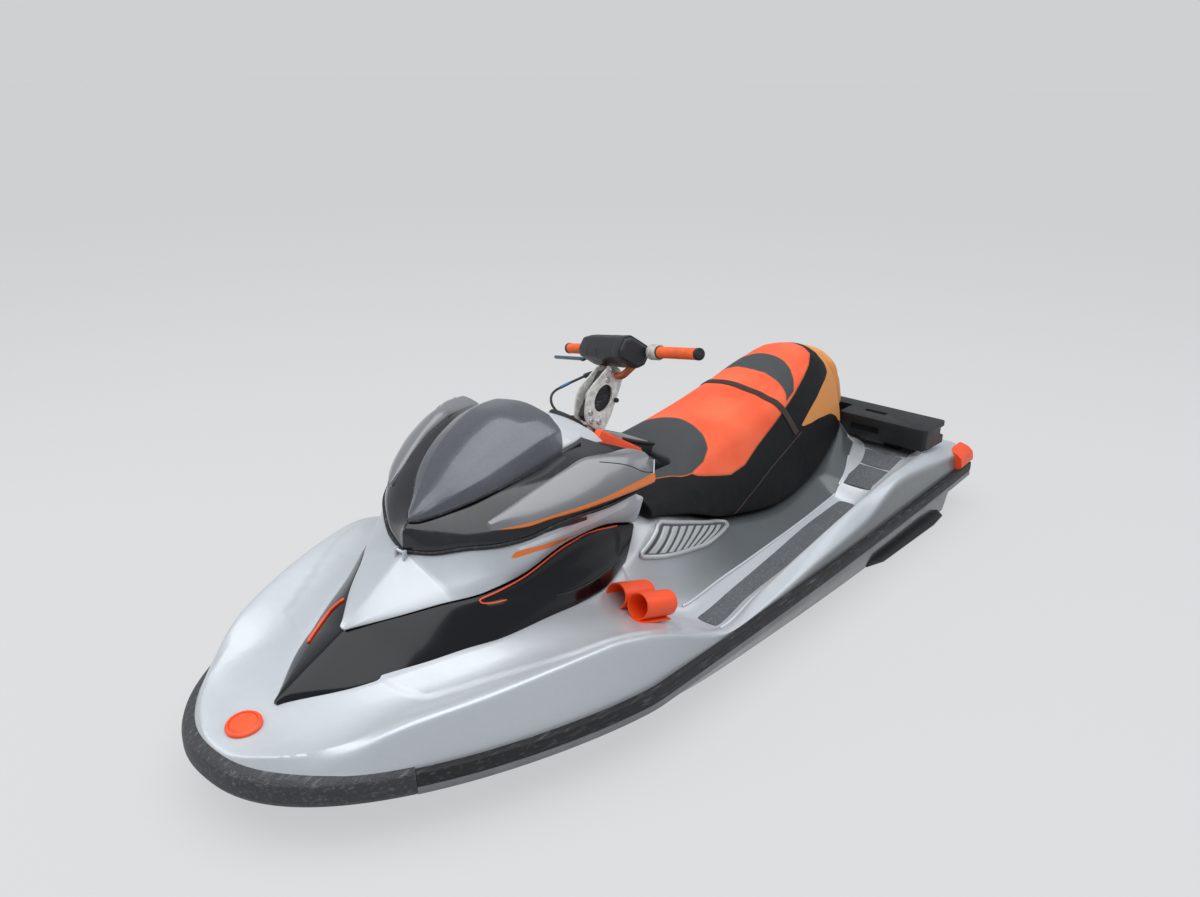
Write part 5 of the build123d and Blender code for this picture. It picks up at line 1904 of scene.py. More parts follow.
@dataclass(frozen=True)
class NoseForm:
    """Gloss cowl on the deck, the silver nose on it and the lid's seal."""

    cowl: Rows = (
        (1332, 3, 1, 232, 208),
        (1300, 32, 3, 250, 226),
        (1188, 126, 5, 305, 250),
        (1125, 163, 7, 336, 262),
        (1030, 215, 100, 370, 280),
        (950, 252, 162, 392, 292),
        (850, 298, 236, 416, 305),
        (740, 316, 262, 436, 311),
        (600, 326, 276, 478, 310),
        (480, 317, 296, 492, 309),
        (360, 287, 318, 470, 330),
    )
    seal: tuple[Place, ...] = (
        (922, 0.5, 485),
        (918, 14, 486),
        (895, 86, 497),
        (850, 164, 520),
        (800, 228, 531),
        (740, 276, 546),
        (674, 320, 576),
        (610, 346, 590),
        (500, 366, 596),
        (410, 366, 600),
    )
    seal_radius: float = 0.0055
    lid_gap: float = 6.3
    fore_ledge: float = 338.0
    aft_ledge: Point = (350.0, 560.0)
    lean_run: Point = (560.0, 860.0)
    pinstripe: Section = (
        (0.42, 0.477), (0.50, 0.485), (0.60, 0.471), (0.74, 0.430), (0.83, 0.4125), (0.864, 0.4055),
        (0.8755, 0.400), (0.867, 0.3945), (0.848, 0.392), (0.81, 0.3905),
    )
    blade: Section = ((0.672, 0.361), (0.606, 0.353), (0.546, 0.352), (0.481, 0.359), (0.40, 0.378))
    stroke: tuple[Place, ...] = (
        (1.168, -0.097, 0.280), (1.131, -0.119, 0.287), (1.088, -0.134, 0.304), (1.062, -0.128, 0.329),
        (1.050, -0.097, 0.356),
    )
    inset: Section = (
        (0.862, 0.400), (0.74, 0.422), (0.60, 0.461), (0.50, 0.474), (0.43, 0.466), (0.42, 0.40),
        (0.50, 0.385), (0.62, 0.380), (0.76, 0.386),
    )
    inset_depth: float = 0.006
    orange_blade: Section = (
        (0.784, 0.489), (0.768, 0.508), (0.743, 0.513), (0.681, 0.518), (0.591, 0.507), (0.540, 0.504),
        (0.638, 0.498), (0.720, 0.499),
    )
    recess: Section = (
        (0.729, 0.544), (0.688, 0.563), (0.643, 0.576), (0.590, 0.575), (0.578, 0.557), (0.665, 0.559),
        (0.720, 0.547),
    )
    pale_band: Section = (
        (0.768, 0.516), (0.712, 0.536), (0.631, 0.551), (0.543, 0.569), (0.426, 0.571), (0.430, 0.548),
        (0.516, 0.535), (0.600, 0.527), (0.698, 0.525), (0.755, 0.512),
    )
    # Outline of the nose's lower facet, which is darkened with painted shade.
    facet: Section = (
        (0.83, 0.455), (0.784, 0.489), (0.72, 0.499), (0.638, 0.498), (0.54, 0.504), (0.516, 0.535),
        (0.43, 0.548), (0.34, 0.56), (0.34, 0.40), (0.60, 0.40), (0.80, 0.38),
    )

    def gloss_cowl(self) -> Piece:
        """Gloss cowl from the deck to the nose's edge.

        Returns:
            The new piece.
        """
        rows = []
        for x, deck_y, top_y, top_z, foot_z in self.cowl:
            middle = (deck_y * 0.55 + top_y * 0.45 + 8, foot_z * 0.5 + top_z * 0.5 + 6)
            low, high = ((0.0, foot_z - 8), (deck_y, foot_z - 3)), ((top_y, top_z - 1), (0.0, top_z - 1))
            rows.append((x, (*low, middle, *high)))
        piece = Skin(tuple(rows), (0.0, 3.0, 60.0, 4.0, 0.0), 14.0).build("gloss_cowl")
        return cut_block(piece, BIN_BLOCK)

    def ledge(self, x: float) -> Point:
        """Place of the lid's ledge on the nose.

        Args:
            x: Place along the craft.

        Returns:
            Half width and height there.
        """
        tip, _, height = self.seal[0]
        if x > tip:
            share = (self.cowl[3][0] - x) / (self.cowl[3][0] - tip)
            return 3.0 + 6.0 * share, self.fore_ledge + (height - self.lid_gap - self.fore_ledge) * share
        if x < self.seal[-1][0]:
            return self.aft_ledge
        y, z = tracks_of([tip_key(tip, row[0]) for row in self.seal], self.seal, 1, 2)
        return y(tip_key(tip, x)), z(tip_key(tip, x)) - self.lid_gap

    def nose(self) -> Piece:
        """Silver nose, with a crease between its top and its side.

        Returns:
            The new piece.
        """
        sides = self.cowl[3:]
        y, z = tracks_of([row[0] for row in sides], sides, 2, 3)
        fore, aft = (935, 928, 922, 920, 917, 912, 905, 895), (412, 385, 360)
        places = [*evenly(1125, 945, 12), *fore, *evenly(880, 420, 23), *aft]
        rows = []
        for x in places:
            (top_y, top_z), (rim_y, rim_z) = (y(x), z(x)), self.ledge(x)
            lean = min(max((x - self.lean_run[0]) / (self.lean_run[1] - self.lean_run[0]), 0.0), 1.0)
            share = 0.2 + 0.16 * (1.0 - lean)
            crease_y = top_y + (rim_y - top_y) * share + 5 + 3 * lean
            crease = (crease_y, top_z + (rim_z - top_z) * share + 7 * lean)
            lip = (top_y * 0.5 + rim_y * 0.5 + 4, top_z * 0.5 + rim_z * 0.5 + 5)
            rows.append((x, ((0.0, top_z), (top_y, top_z), crease, lip, (rim_y, rim_z), (0.0, rim_z))))
        piece = Skin(tuple(rows), (0.0, 2.0, 9.0, 40.0, 5.0, 0.0), 24.0).build("silver_nose")
        return cut_block(piece, BIN_BLOCK)

    def seal_ring(self) -> Piece:
        """Round rubber seal under the lid's rim."""
        port = [Vector((x, y + 1.0, z - 3.5)) * MM for x, y, z in tip_line(self.seal, 60)]
        return tube("lid_seal", whole_ring(port), self.seal_radius)

    def stripes(self, cowl: Piece) -> None:
        """Fine coloured lines and the raised blade on the gloss cowl.

        Args:
            cowl: The gloss cowl.
        """
        tree = skin_tree(cowl)
        line = laid_tube("cowl_pinstripe", tree, self.pinstripe, -0.0012, 0.0024)
        finish_piece(line, Body.CRAFT, Slot.orange_plastic)
        blade = laid_tube("cowl_blade", tree, self.blade, -0.002, 0.0055, 3)
        finish_piece(blade, Body.CRAFT, Slot.gloss_black)
        stroke = tube("starboard_stroke", self.stroke, 0.0046, sides=2)
        finish_piece(stroke, Body.CRAFT, Slot.orange_plastic)

    def build(self) -> None:
        """Builds the cowl, the nose and the seal."""
        cowl = self.gloss_cowl()
        mark_zones(cowl, side_places(cowl), smooth_outline(self.inset))
        inset = pressed(cowl, Zone.FIRST, self.inset_depth, 2.0 * self.inset_depth)
        finish_piece(inset, Body.CRAFT, Slot.gloss_black, "side_cowl")
        self.stripes(cowl)
        nose = self.nose()
        mark_zones(nose, side_places(nose), self.orange_blade, self.recess, self.pale_band, self.facet)
        finish_piece(nose, Body.CRAFT, Slot.silver_gelcoat, "nose_cowl", look=Look.nose_paint)
        finish_piece(self.seal_ring(), Body.CRAFT, Slot.black_rubber, "hood_seal")


@dataclass(frozen=True)
class HoodForm:
    """Lid over the storage bin: its skin, the raised dome, the strips beside it and the mirror pods."""

    skin: tuple[tuple[float, Point, Point, Point], ...] = (
        (922, (1, 486), (1, 492), (0.5, 520)),
        (918, (14, 486), (13, 500), (7, 540)),
        (895, (86, 497), (80, 516), (16, 556)),
        (850, (164, 520), (150, 552), (56, 570)),
        (800, (228, 531), (208, 578), (102, 594)),
        (740, (276, 546), (246, 610), (142, 624)),
        (674, (320, 576), (284, 642), (166, 648)),
        (610, (346, 590), (300, 668), (182, 666)),
        (500, (366, 596), (316, 694), (196, 694)),
        (411, (366, 600), (318, 696), (196, 700)),
    )
    dome_rows: Rows = (
        (897, 1, 558, 566),
        (890, 16, 560, 576),
        (850, 50, 572, 610),
        (740, 138, 626, 698),
        (654, 170, 653, 750),
        (560, 188, 678, 783),
        (500, 192, 692, 785),
        (450, 192, 700, 782),
    )
    dome_arch: Section = ((0.97, 0.36), (0.72, 0.76), (0.36, 0.955))
    rear_edge: Place = (0.475, 0.0, 0.782)
    rear_lean: float = 0.52
    heel_rows: Rows = (
        (560, 180, 672, 762),
        (482, 180, 690, 756),
        (440, 174, 692, 745),
        (404, 164, 694, 735),
    )
    pod_rows: Rows = (
        (802, 188, 216, 556, 200, 590),
        (740, 204, 286, 566, 230, 622),
        (690, 222, 320, 580, 248, 648),
        (600, 250, 368, 594, 280, 688),
        (520, 264, 392, 603, 308, 712),
        (440, 276, 408, 610, 356, 708),
        (380, 280, 412, 612, 366, 704),
    )

    stripe: Section = (
        (0.81, 0.556), (0.785, 0.570), (0.748, 0.582), (0.703, 0.595), (0.656, 0.607), (0.604, 0.617),
        (0.537, 0.628), (0.475, 0.640), (0.402, 0.649), (0.36, 0.652), (0.36, 0.5), (0.70, 0.5),
    )
    seam: Section = ((0.518, 0.700), (0.506, 0.698), (0.464, 0.688), (0.415, 0.660), (0.385, 0.652))

    def shell(self) -> Piece:
        """Lid's skin, thick at its rim and hollow over the bin.

        Returns:
            The new piece.
        """
        rows = []
        for x, rim, crown, foot in self.skin:
            rows.append((x, ((0.0, rim[1]), rim, (rim[0] - 1, rim[1] + 8), crown, foot, (0.0, foot[1] + 1))))
        skin = Skin(tuple(rows), (0.0, 3.0, 6.0, 26.0, 12.0, 0.0), 16.0, tip=self.skin[0][0])
        return cut(skin.build("hood_skin"), self.hollow())

    def hollow(self) -> Piece:
        """Room inside the lid.

        Returns:
            The new piece.
        """
        rows = []
        for x, rim, crown, foot in self.skin[3:-1]:
            low = ((0.0, rim[1] - 20), (rim[0] - 16, rim[1] - 20))
            rows.append((x - 6, (*low, (crown[0] - 14, crown[1] - 14), (0.0, foot[1] - 14))))
        return Skin(tuple(rows), (0.0, 0.0, 0.0, 0.0), 40.0).build("hollow", 1)

    def dome(self) -> Piece:
        """Raised dome with a fine rounded edge.

        Returns:
            The new piece.
        """
        rows = []
        for x, half, foot, crown in self.dome_rows:
            rise = crown - foot
            arch = tuple((half * a, foot + rise * b) for a, b in self.dome_arch)
            rows.append((x, ((0.0, foot - 6), (half, foot - 3), (half, foot + 2), *arch, (0.0, crown))))
        skin = Skin(tuple(rows), (0.0, 0.0, 5.0, 30.0, 40.0, 60.0, 0.0), 16.0, tip=self.dome_rows[0][0])
        return self.sliced(skin.build("dome"), -1.0)

    def sliced(self, piece: Piece, side: float) -> Piece:
        """Cuts a piece off along the dome's leaning rear edge.

        Args:
            piece: Piece to cut.
            side: -1 to keep what is ahead of the edge, 1 to keep what is behind it.

        Returns:
            The same piece.
        """
        mesh = bmesh.new()
        mesh.from_mesh(piece.data)
        normal = Vector((1.0, 0.0, self.rear_lean)).normalized() * side
        geom = mesh.verts[:] + mesh.edges[:] + mesh.faces[:]
        plane = {"plane_co": self.rear_edge, "plane_no": normal}
        found = bmesh.ops.bisect_plane(mesh, geom=geom, clear_outer=True, **plane)
        edges = [item for item in found["geom_cut"] if isinstance(item, bmesh.types.BMEdge)]
        bmesh.ops.contextual_create(mesh, geom=edges)
        bmesh.ops.recalc_face_normals(mesh, faces=mesh.faces)
        mesh.to_mesh(piece.data)
        mesh.free()
        piece.data.set_sharp_from_angle(angle=math.radians(SHARP_DEGREES))
        return piece

    def dome_groove(self) -> Piece:
        """Dark joint round the dome's foot.

        Returns:
            The new piece.
        """
        port = [Vector((x, y + 2.0, z + 1.0)) * MM for x, y, z in tip_line(self.dome_rows, 48)]
        port[0].x += 3.0 * MM
        return tube("dome_joint", whole_ring(port), 0.0032, sides=2)

    def pods(self) -> Piece:
        """Mirror pods.

        Returns:
            The new piece.
        """
        rows = []
        for x, inner, outer, low, ridge, high in self.pod_rows:
            middle = low * 0.55 + high * 0.45
            points = ((inner, low), (outer - 14, low), (outer, middle), (ridge, high), (inner, high - 12))
            rows.append((x, points))
        piece = Skin(tuple(rows), (0.0, 10.0, 30.0, 11.0, 10.0), 14.0, True).build("mirror_pod")
        return both_sides(piece)

    def heel(self) -> Piece:
        """Pale hump behind the dome, level with the gauge's binnacle."""
        radii = (0.0, 6.0, 20.0, 40.0, 0.0)
        return self.sliced(hump("dome_heel", self.heel_rows, (0.93, 0.5), (0.6, -4.0), 3.0, radii, 14.0), 1.0)

    def build(self) -> None:
        """Builds the lid."""
        finish_piece(self.heel(), Body.LID, Slot.silver_plastic, "hood_dome")
        finish_piece(self.shell(), Body.LID, Slot.gunmetal_paint, "hood_shell", look=Look.hood_black)
        finish_piece(self.dome(), Body.LID, Slot.gunmetal_paint, "hood_dome", look=Look.smoked_dome)
        finish_piece(self.dome_groove(), Body.LID, Slot.black_rubber, "hood_dome")
        pods = self.pods()
        mark_zones(pods, side_places(pods), self.stripe)
        finish_piece(pods, Body.LID, Slot.gunmetal_paint, "mirror_pods", look=Look.pod_paint)
        seam = laid_tube("pod_seam", skin_tree(pods), self.seam, -0.0005, 0.0016)
        finish_piece(seam, Body.LID, Slot.black_rubber)


# Seat and tail


@dataclass(frozen=True)
class SaddleForm:
    """Seat with its coloured panels, the strap and the tail cowl."""

    rows: tuple[tuple[float, float, Point, Point, Point], ...] = (
        (220, 490, (200, 489), (262, 466), (280, 415)),
        (0, 500, (165, 490), (236, 432), (266, 345)),
        (-240, 538, (152, 517), (207, 408), (250, 250)),
        (-600, 609, (150, 583), (200, 440), (240, 190)),
        (-850, 668, (140, 638), (190, 486), (222, 215)),
        (-930, 680, (134, 648), (184, 498), (212, 244)),
        (-1080, 650, (112, 612), (156, 490), (190, 310)),
        (-1165, 536, (86, 505), (112, 436), (143, 338)),
    )
    tail_rows: Rows = (
        (-1075, 104, 480, 612),
        (-1092, 136, 462, 636),
        (-1114, 141, 444, 624),
        (-1165, 122, 400, 576),
        (-1225, 100, 380, 518),
        (-1262, 64, 372, 456),
    )
    shrink: float = 3.0
    wrap_depth: float = 0.28
    wrap_radius: float = 0.24
    front_block: Block = ((-0.056, -0.13, 0.2), (0.3, 0.13, 0.8))
    strap_width: float = 0.03
    strap_thick: float = 0.0024
    strap_line: Section = (
        (0.0, -0.565), (0.05, -0.567), (0.08, -0.578), (0.117, -0.596), (0.153, -0.624), (0.207, -0.660),
        (0.3, -0.705),
    )
    seam_line: Section = (
        (-0.205, 0.398), (-0.283, 0.385), (-0.392, 0.363), (-0.519, 0.337), (-0.626, 0.323), (-0.738, 0.311)
    )
    tail_outline: Section = (
        (-1.017, -0.05), (-1.017, 0.03), (-1.007, 0.064), (-1.003, 0.100), (-1.008, 0.125), (-1.0, 0.160),
        (-0.966, 0.186), (-0.88, 0.233), (-0.811, 0.260), (-0.745, 0.288), (-0.763, 0.299), (-0.813, 0.313),
        (-0.859, 0.319), (-0.915, 0.333), (-0.979, 0.337), (-1.028, 0.354), (-1.059, 0.374), (-1.3, 0.40),
        (-1.3, -0.05),
    )

    def cushion(self) -> Piece:
        """Seat cushion, swollen by its foam.

        Returns:
            The new piece.
        """
        rows = []
        for x, top, shoulder, flank, foot in self.rows:
            less = self.shrink
            low = (foot[0] - less, foot[1] + 3)
            waist = (flank[0] * 0.6 + foot[0] * 0.4 - less + 6, flank[1] * 0.6 + foot[1] * 0.4)
            points = ((0.0, low[1]), low, waist, (flank[0] - less, flank[1]))
            crown = (shoulder[0] * 0.5, top - less - (top - shoulder[1]) * 0.22)
            rows.append((x, (*points, (shoulder[0] - less, shoulder[1] - less), crown, (0.0, top - less))))
        piece = Skin(tuple(rows), (0.0, 8.0, 60.0, 50.0, 42.0, 50.0, 0.0), 36.0).build("seat_cushion")
        cut_block(piece, self.front_block)
        return puffed(piece, voxel=0.009, pressure=4.0, cap=0.006, hold_below=0.2)

    def girth(self, piece: Piece) -> np.ndarray:
        """Each vertex's x and its distance round the seat from the centre line.

        Args:
            piece: The cushion.

        Returns:
            A row of two distances for each vertex.
        """
        places = coordinates(piece)
        tops = np.array([SEAT_TOP(x / MM) for x in places[:, 0]]) * MM
        angles = np.arctan2(np.abs(places[:, 1]), places[:, 2] - tops + self.wrap_depth)
        return np.stack([places[:, 0], angles * self.wrap_radius], axis=1)

    def tail(self) -> Piece:
        """Coloured cowl behind the seat."""
        radii = (0.0, 12.0, 40.0, 40.0, 0.0)
        return hump("tail_cowl", self.tail_rows, (1.0, 0.5), (0.7, 0.0), 6.0, radii, 20.0)

    def on_seat(self, tree: BVHTree, x: float, around: float, lift: float) -> Vector:
        """Point on the cushion at x and a signed distance round it, raised off it.

        Args:
            tree: The cushion's skin.
            x: Place along the craft.
            around: Distance round the seat, positive to port.
            lift: Distance off it.

        Returns:
            The point.
        """
        angle = around / self.wrap_radius
        aim = Vector((0.0, math.sin(angle), math.cos(angle)))
        middle = Vector((x, 0.0, SEAT_TOP(x / MM) * MM - self.wrap_depth))
        hit, normal, _, _ = tree.ray_cast(middle + aim * 0.6, -aim)
        return (hit or middle + aim * 0.2) + (normal or aim) * lift

    def strap(self, tree: BVHTree) -> Piece:
        """Flat strap laid over the cushion, slanting aft down its flanks.

        Args:
            tree: The cushion's skin.

        Returns:
            The new piece.
        """
        mesh = bmesh.new()
        drift = Track(*zip(*self.strap_line))
        reach = self.strap_line[-1][0]
        lanes = []
        for offset in (-0.5, -0.2, 0.2, 0.5):
            lane = []
            for around in evenly(-reach, reach, 72):
                place = self.on_seat(tree, drift(abs(around)) + offset * self.strap_width, around, 0.0012)
                lane.append(mesh.verts.new(place))
            lanes.append(lane)
        for left, right in zip(lanes, lanes[1:]):
            for a, b, c, d in zip(left, left[1:], right[1:], right):
                mesh.faces.new((a, b, c, d))
        band = walled(new_object("seat_strap_band", mesh), (0.0, 0.0, 1.0), self.strap_thick)
        return subdivided(band, 1)

    def flank_seam(self, tree: BVHTree) -> Piece:
        """Piping along the slanted seam of the flank.

        Args:
            tree: The cushion's skin.

        Returns:
            The new piece.
        """
        line = Track(*zip(*self.seam_line))
        run = evenly(self.seam_line[0][0], self.seam_line[-1][0], 40)
        places = [self.on_seat(tree, x, line(x), 0.0) for x in run]
        return both_sides(tube("flank_piping", places, 0.0028, sides=2))

    def build(self) -> None:
        """Builds the seat."""
        seat = self.cushion()
        mark_zones(seat, self.girth(seat), SEAT_ORANGE, SEAT_ARCH, SEAT_NOSE, self.tail_outline)
        finish_piece(seat, Body.CRAFT, Slot.seat_vinyl, "seat")
        tree = skin_tree(seat)
        finish_piece(self.strap(tree), Body.CRAFT, Slot.strap_webbing, "seat_strap")
        finish_piece(self.flank_seam(tree), Body.CRAFT, Slot.strap_webbing)
        finish_piece(self.tail(), Body.CRAFT, Slot.faded_orange, "seat_tail")


SEAT_TOP = Track(*zip(*(row[:2] for row in SaddleForm().rows)))
SEAT_FRONT: Section = (
    (-0.274, 0.01), (-0.265, 0.056), (-0.249, 0.098), (-0.217, 0.142), (-0.164, 0.164), (-0.076, 0.172)
)
SEAT_ORANGE: Section = (
    (-0.274, -0.05), *SEAT_FRONT, (-0.10, 0.184), (-0.173, 0.207), (-0.279, 0.245), (-0.367, 0.250),
    (-0.459, 0.225), (-0.551, 0.207), (-0.625, 0.192), (-0.69, 0.178), (-0.736, 0.168), (-0.828, 0.142),
    (-0.889, 0.120), (-0.947, 0.087), (-0.978, 0.04), (-0.985, -0.05),
)
SEAT_ARCH: Section = (
    (-0.683, -0.05), (-0.690, 0.033), (-0.697, 0.05), (-0.696, 0.089), (-0.699, 0.119), (-0.693, 0.151),
    (-0.679, 0.171), (-0.739, 0.161), (-0.771, 0.128), (-0.791, 0.100), (-0.810, 0.063), (-0.814, 0.028),
    (-0.814, -0.05),
)
SEAT_NOSE: Section = (
    (0.3, -0.05), (-0.274, -0.05), *SEAT_FRONT, (-0.02, 0.165), (0.015, 0.152), (0.10, 0.135), (0.3, 0.115)
)


# Console, gauge and steering


@dataclass(frozen=True)
class Column:
    """Steering column's frame: Z up the column, X ahead, turned to where it rests."""

    foot: Place = (0.188, 0.0, 0.624)
    lean: float = 36.87
    rest: float = 20.0

    def matrix(self) -> Matrix:
        """Places a piece drawn in the column's frame, in metres.

        Returns:
            The frame.
        """
        lean = math.radians(self.lean)
        ahead = Vector((math.cos(lean), 0.0, math.sin(lean)))
        return tilted(self.foot, ahead) @ Matrix.Rotation(math.radians(-self.rest), 4, "Z")


COLUMN = Column()


@dataclass(frozen=True)
class HelmForm:
    """Console, glovebox, binnacle, and the details of the steering."""

    console_rows: Rows = (
        (392, 270, 165, 655, 326),
        (350, 262, 155, 650, 335),
        (230, 128, 108, 622, 408),
        (150, 118, 100, 596, 393),
        (-56, 116, 100, 477, 322),
    )
    binnacle_rows: Rows = (
        (394, 152, 655, 726),
        (330, 140, 646, 706),
        (262, 118, 629, 654),
        (250, 100, 626, 640),
    )
    slope_line: Section = ((-30.0, 490.9604), (128.0, 583.1485))
    lid_length: float = 0.186
    lid_half: float = 0.066
    lid_rise: float = 9.5
    gauge_place: Place = (0.297, 0.0, 0.682)
    gauge_axis: Place = (-0.622, 0.0, 0.783)
    gauge_marks: int = 11
    strip_run: Point = (0.1, 0.33)
    strip_ribs: int = 21
    pad_size: Place = (0.108, 0.25, 0.08)
    pad_place: Place = (0.038, -0.008, 0.25)
    pad_section: Section = (
        (-0.5, -0.2), (-0.5, 0.28), (-0.34, 0.5), (0.3, 0.5), (0.5, 0.26), (0.5, -0.28), (0.34, -0.5),
        (-0.3, -0.5),
    )
    pad_swell: Section = (
        (-1.0, 0.66), (-0.98, 0.84), (-0.9, 0.97), (-0.45, 1.01), (0.0, 0.99), (0.45, 1.01), (0.9, 0.97),
        (0.98, 0.84), (1.0, 0.66),
    )
    band_swell: Section = ((-0.5, 0.985), (-0.42, 1.015), (0.42, 1.015), (0.5, 0.985))
    bar_height: float = 0.275
    bar_back: float = -0.009
    grip_ribs: int = 25
    rib_start: float = 0.1795
    rib_pitch: float = 0.0068
    rib_profile: Section = ((0.0172, 0.0), (0.0172, 0.0044), (0.0163, 0.0050), (0.0163, 0.0062))
    bands: Section = ((-0.5, 0.004), (-0.06, 0.004), (0.36, 0.004), (0.79, 0.036))
    bolts: Section = (
        (0.036, 0.186), (0.037, 0.153), (0.043, 0.039), (0.030, 0.018), (0.004, 0.028), (-0.002, 0.184)
    )
    plate_face: float = 0.034
    knob_place: Place = (-0.018, 0.034, 0.112)
    boot: tuple[Place, ...] = ((50, 24, 176), (30, 14, 186), (0, 14, 186), (-14, 40, 160))

    def slope(self) -> Matrix:
        """Frame of the console's slope: X up the slope, Z out of it, at the lid's after edge."""
        low, high = (Vector((x, 0.0, z)) * MM for x, z in self.slope_line)
        return tilted(low, (high - low).normalized())

    def console(self) -> Piece:
        """Console between the hood and the seat.

        Returns:
            The new piece.
        """
        rows = []
        for x, foot_y, top_y, top_z, foot_z in self.console_rows:
            middle = (foot_y * 0.6 + top_y * 0.4, foot_z * 0.35 + top_z * 0.65)
            rows.append((x, ((0.0, foot_z), (foot_y, foot_z), middle, (top_y, top_z), (0.0, top_z + 2))))
        return Skin(tuple(rows), (0.0, 10.0, 40.0, 14.0, 0.0), 24.0).build("console_shell")

    def binnacle(self) -> Piece:
        """Pale hump behind the dome."""
        radii = (0.0, 8.0, 24.0, 40.0, 0.0)
        return hump("binnacle", self.binnacle_rows, (0.94, 0.55), (0.62, -3.0), 4.0, radii, 18.0)

    def pad_ring(self, offset: float, scale: float) -> list[Vector]:
        """Outline of the pad at an offset along it.

        Args:
            offset: Distance from the pad's middle.
            scale: Size of the section, 1 when full.

        Returns:
            Points of the outline.
        """
        x, _, z = self.pad_size
        middle = Vector(self.pad_place)
        return [Vector((a * x * scale, offset, b * z * scale)) + middle for a, b in self.pad_section]

    def bar_pad(self) -> Piece:
        """Foam pad wrapped round the bar.

        Returns:
            The new piece.
        """
        rings = [self.pad_ring(share * self.pad_size[1] / 2.0, scale) for share, scale in self.pad_swell]
        piece = loft("bar_pad_foam", rings, [0.5] * len(self.pad_section), 0.7)
        return moved(subdivided(piece, 3), COLUMN.matrix())

    def pad_bands(self) -> Piece:
        """Sewn joints round the pad and the wide strap at its port end.

        Returns:
            The new piece.
        """
        pieces = []
        for index, (share, width) in enumerate(self.bands):
            middle = share * self.pad_size[1] / 2.0
            rings = [self.pad_ring(middle + edge * width, scale) for edge, scale in self.band_swell]
            pieces.append(subdivided(loft(f"band_{index}", rings, [0.5] * len(self.pad_section)), 2))
        return moved(joined("bar_pad_bands", pieces), COLUMN.matrix())

    def spun(self, name: str, profile: Sequence[Point]) -> Piece:
        """Round piece on both ends of the bar, from radius and distance along it."""
        piece = revolved(name, profile, (self.bar_back, 0.0, self.bar_height), (0.0, 1.0, 0.0), 40)
        return moved(both_sides(piece), COLUMN.matrix())

    def grips(self) -> None:
        """Ribbed grips with their rings and rounded ends."""
        ribs = []
        for k in range(self.grip_ribs):
            start = self.rib_start + self.rib_pitch * k
            ribs += [(radius, start + ahead) for radius, ahead in self.rib_profile]
        grip = self.spun(
            "ribbed_grips",
            [(0.0112, 0.1722), (0.0178, 0.1722), (0.0178, 0.1785), *ribs, (0.017, 0.351), (0.0112, 0.351)],
        )
        finish_piece(grip, Body.STEERING, Slot.orange_grip, "grips")
        ends = [
            (0.0112, 0.3512), (0.0172, 0.3512), (0.018, 0.3535), (0.018, 0.361), (0.0158, 0.3648),
            (0.009, 0.3658), (0.0, 0.366), (0.0, 0.352),
        ]
        finish_piece(self.spun("bar_ends", ends), Body.STEERING, Slot.black_rubber, "grip_ends")
        ring = [
            (0.0112, 0.1655), (0.019, 0.1655), (0.0198, 0.167), (0.0198, 0.1705), (0.019, 0.172),
            (0.0112, 0.172),
        ]
        finish_piece(self.spun("grip_rings", ring), Body.STEERING, Slot.black_rubber)

    def glovebox(self) -> None:
        """Glovebox lid, raised at its after end, with its panel and rim, and the ribbed strips beside it."""
        length, half = self.lid_length, self.lid_half
        hinge = Matrix.Translation((length, 0.0, 0.0))
        turn = Matrix.Rotation(math.radians(self.lid_rise), 4, "Y")
        raised = self.slope() @ hinge @ turn @ hinge.inverted()
        base = bevelled(box_piece("lid_base", (0.0, -half, -0.03), (length - 0.004, half, 0.009)), 0.006, 3)
        finish_piece(moved(base, raised), Body.GLOVEBOX, Slot.black_plastic, "glovebox_lid")
        panel = box_piece("lid_panel", (0.014, -0.056, 0.004), (length - 0.016, 0.056, 0.017))
        finish_piece(moved(bevelled(panel, 0.008, 3), raised), Body.GLOVEBOX, Slot.grey_plastic)
        edge = half - 0.002
        fore = length - 0.038
        corners = (
            (0.002, -0.046), (0.012, -edge), (fore, -edge), (fore, edge), (0.012, edge), (0.002, 0.046)
        )
        path = [(x, y, 0.011) for x, y in smooth_outline(corners, 5)]
        rim = moved(tube("lid_rim", path, 0.0058, closed=True), raised)
        finish_piece(rim, Body.GLOVEBOX, Slot.black_plastic, "glovebox_trim")
        first, last = self.strip_run
        pieces = [bevelled(box_piece("strip", (first, 0.076, -0.03), (last, 0.1, 0.006)), 0.004)]
        for k in range(self.strip_ribs):
            start = first + 0.006 + (last - first - 0.01) * k / self.strip_ribs
            rib = box_piece(f"strip_rib_{k}", (start, 0.079, 0.004), (start + 0.0056, 0.097, 0.0092))
            pieces.append(bevelled(rib, 0.0014, 1))
        strips = both_sides(moved(joined("console_strips", pieces), self.slope()))
        finish_piece(strips, Body.CRAFT, Slot.orange_plastic)

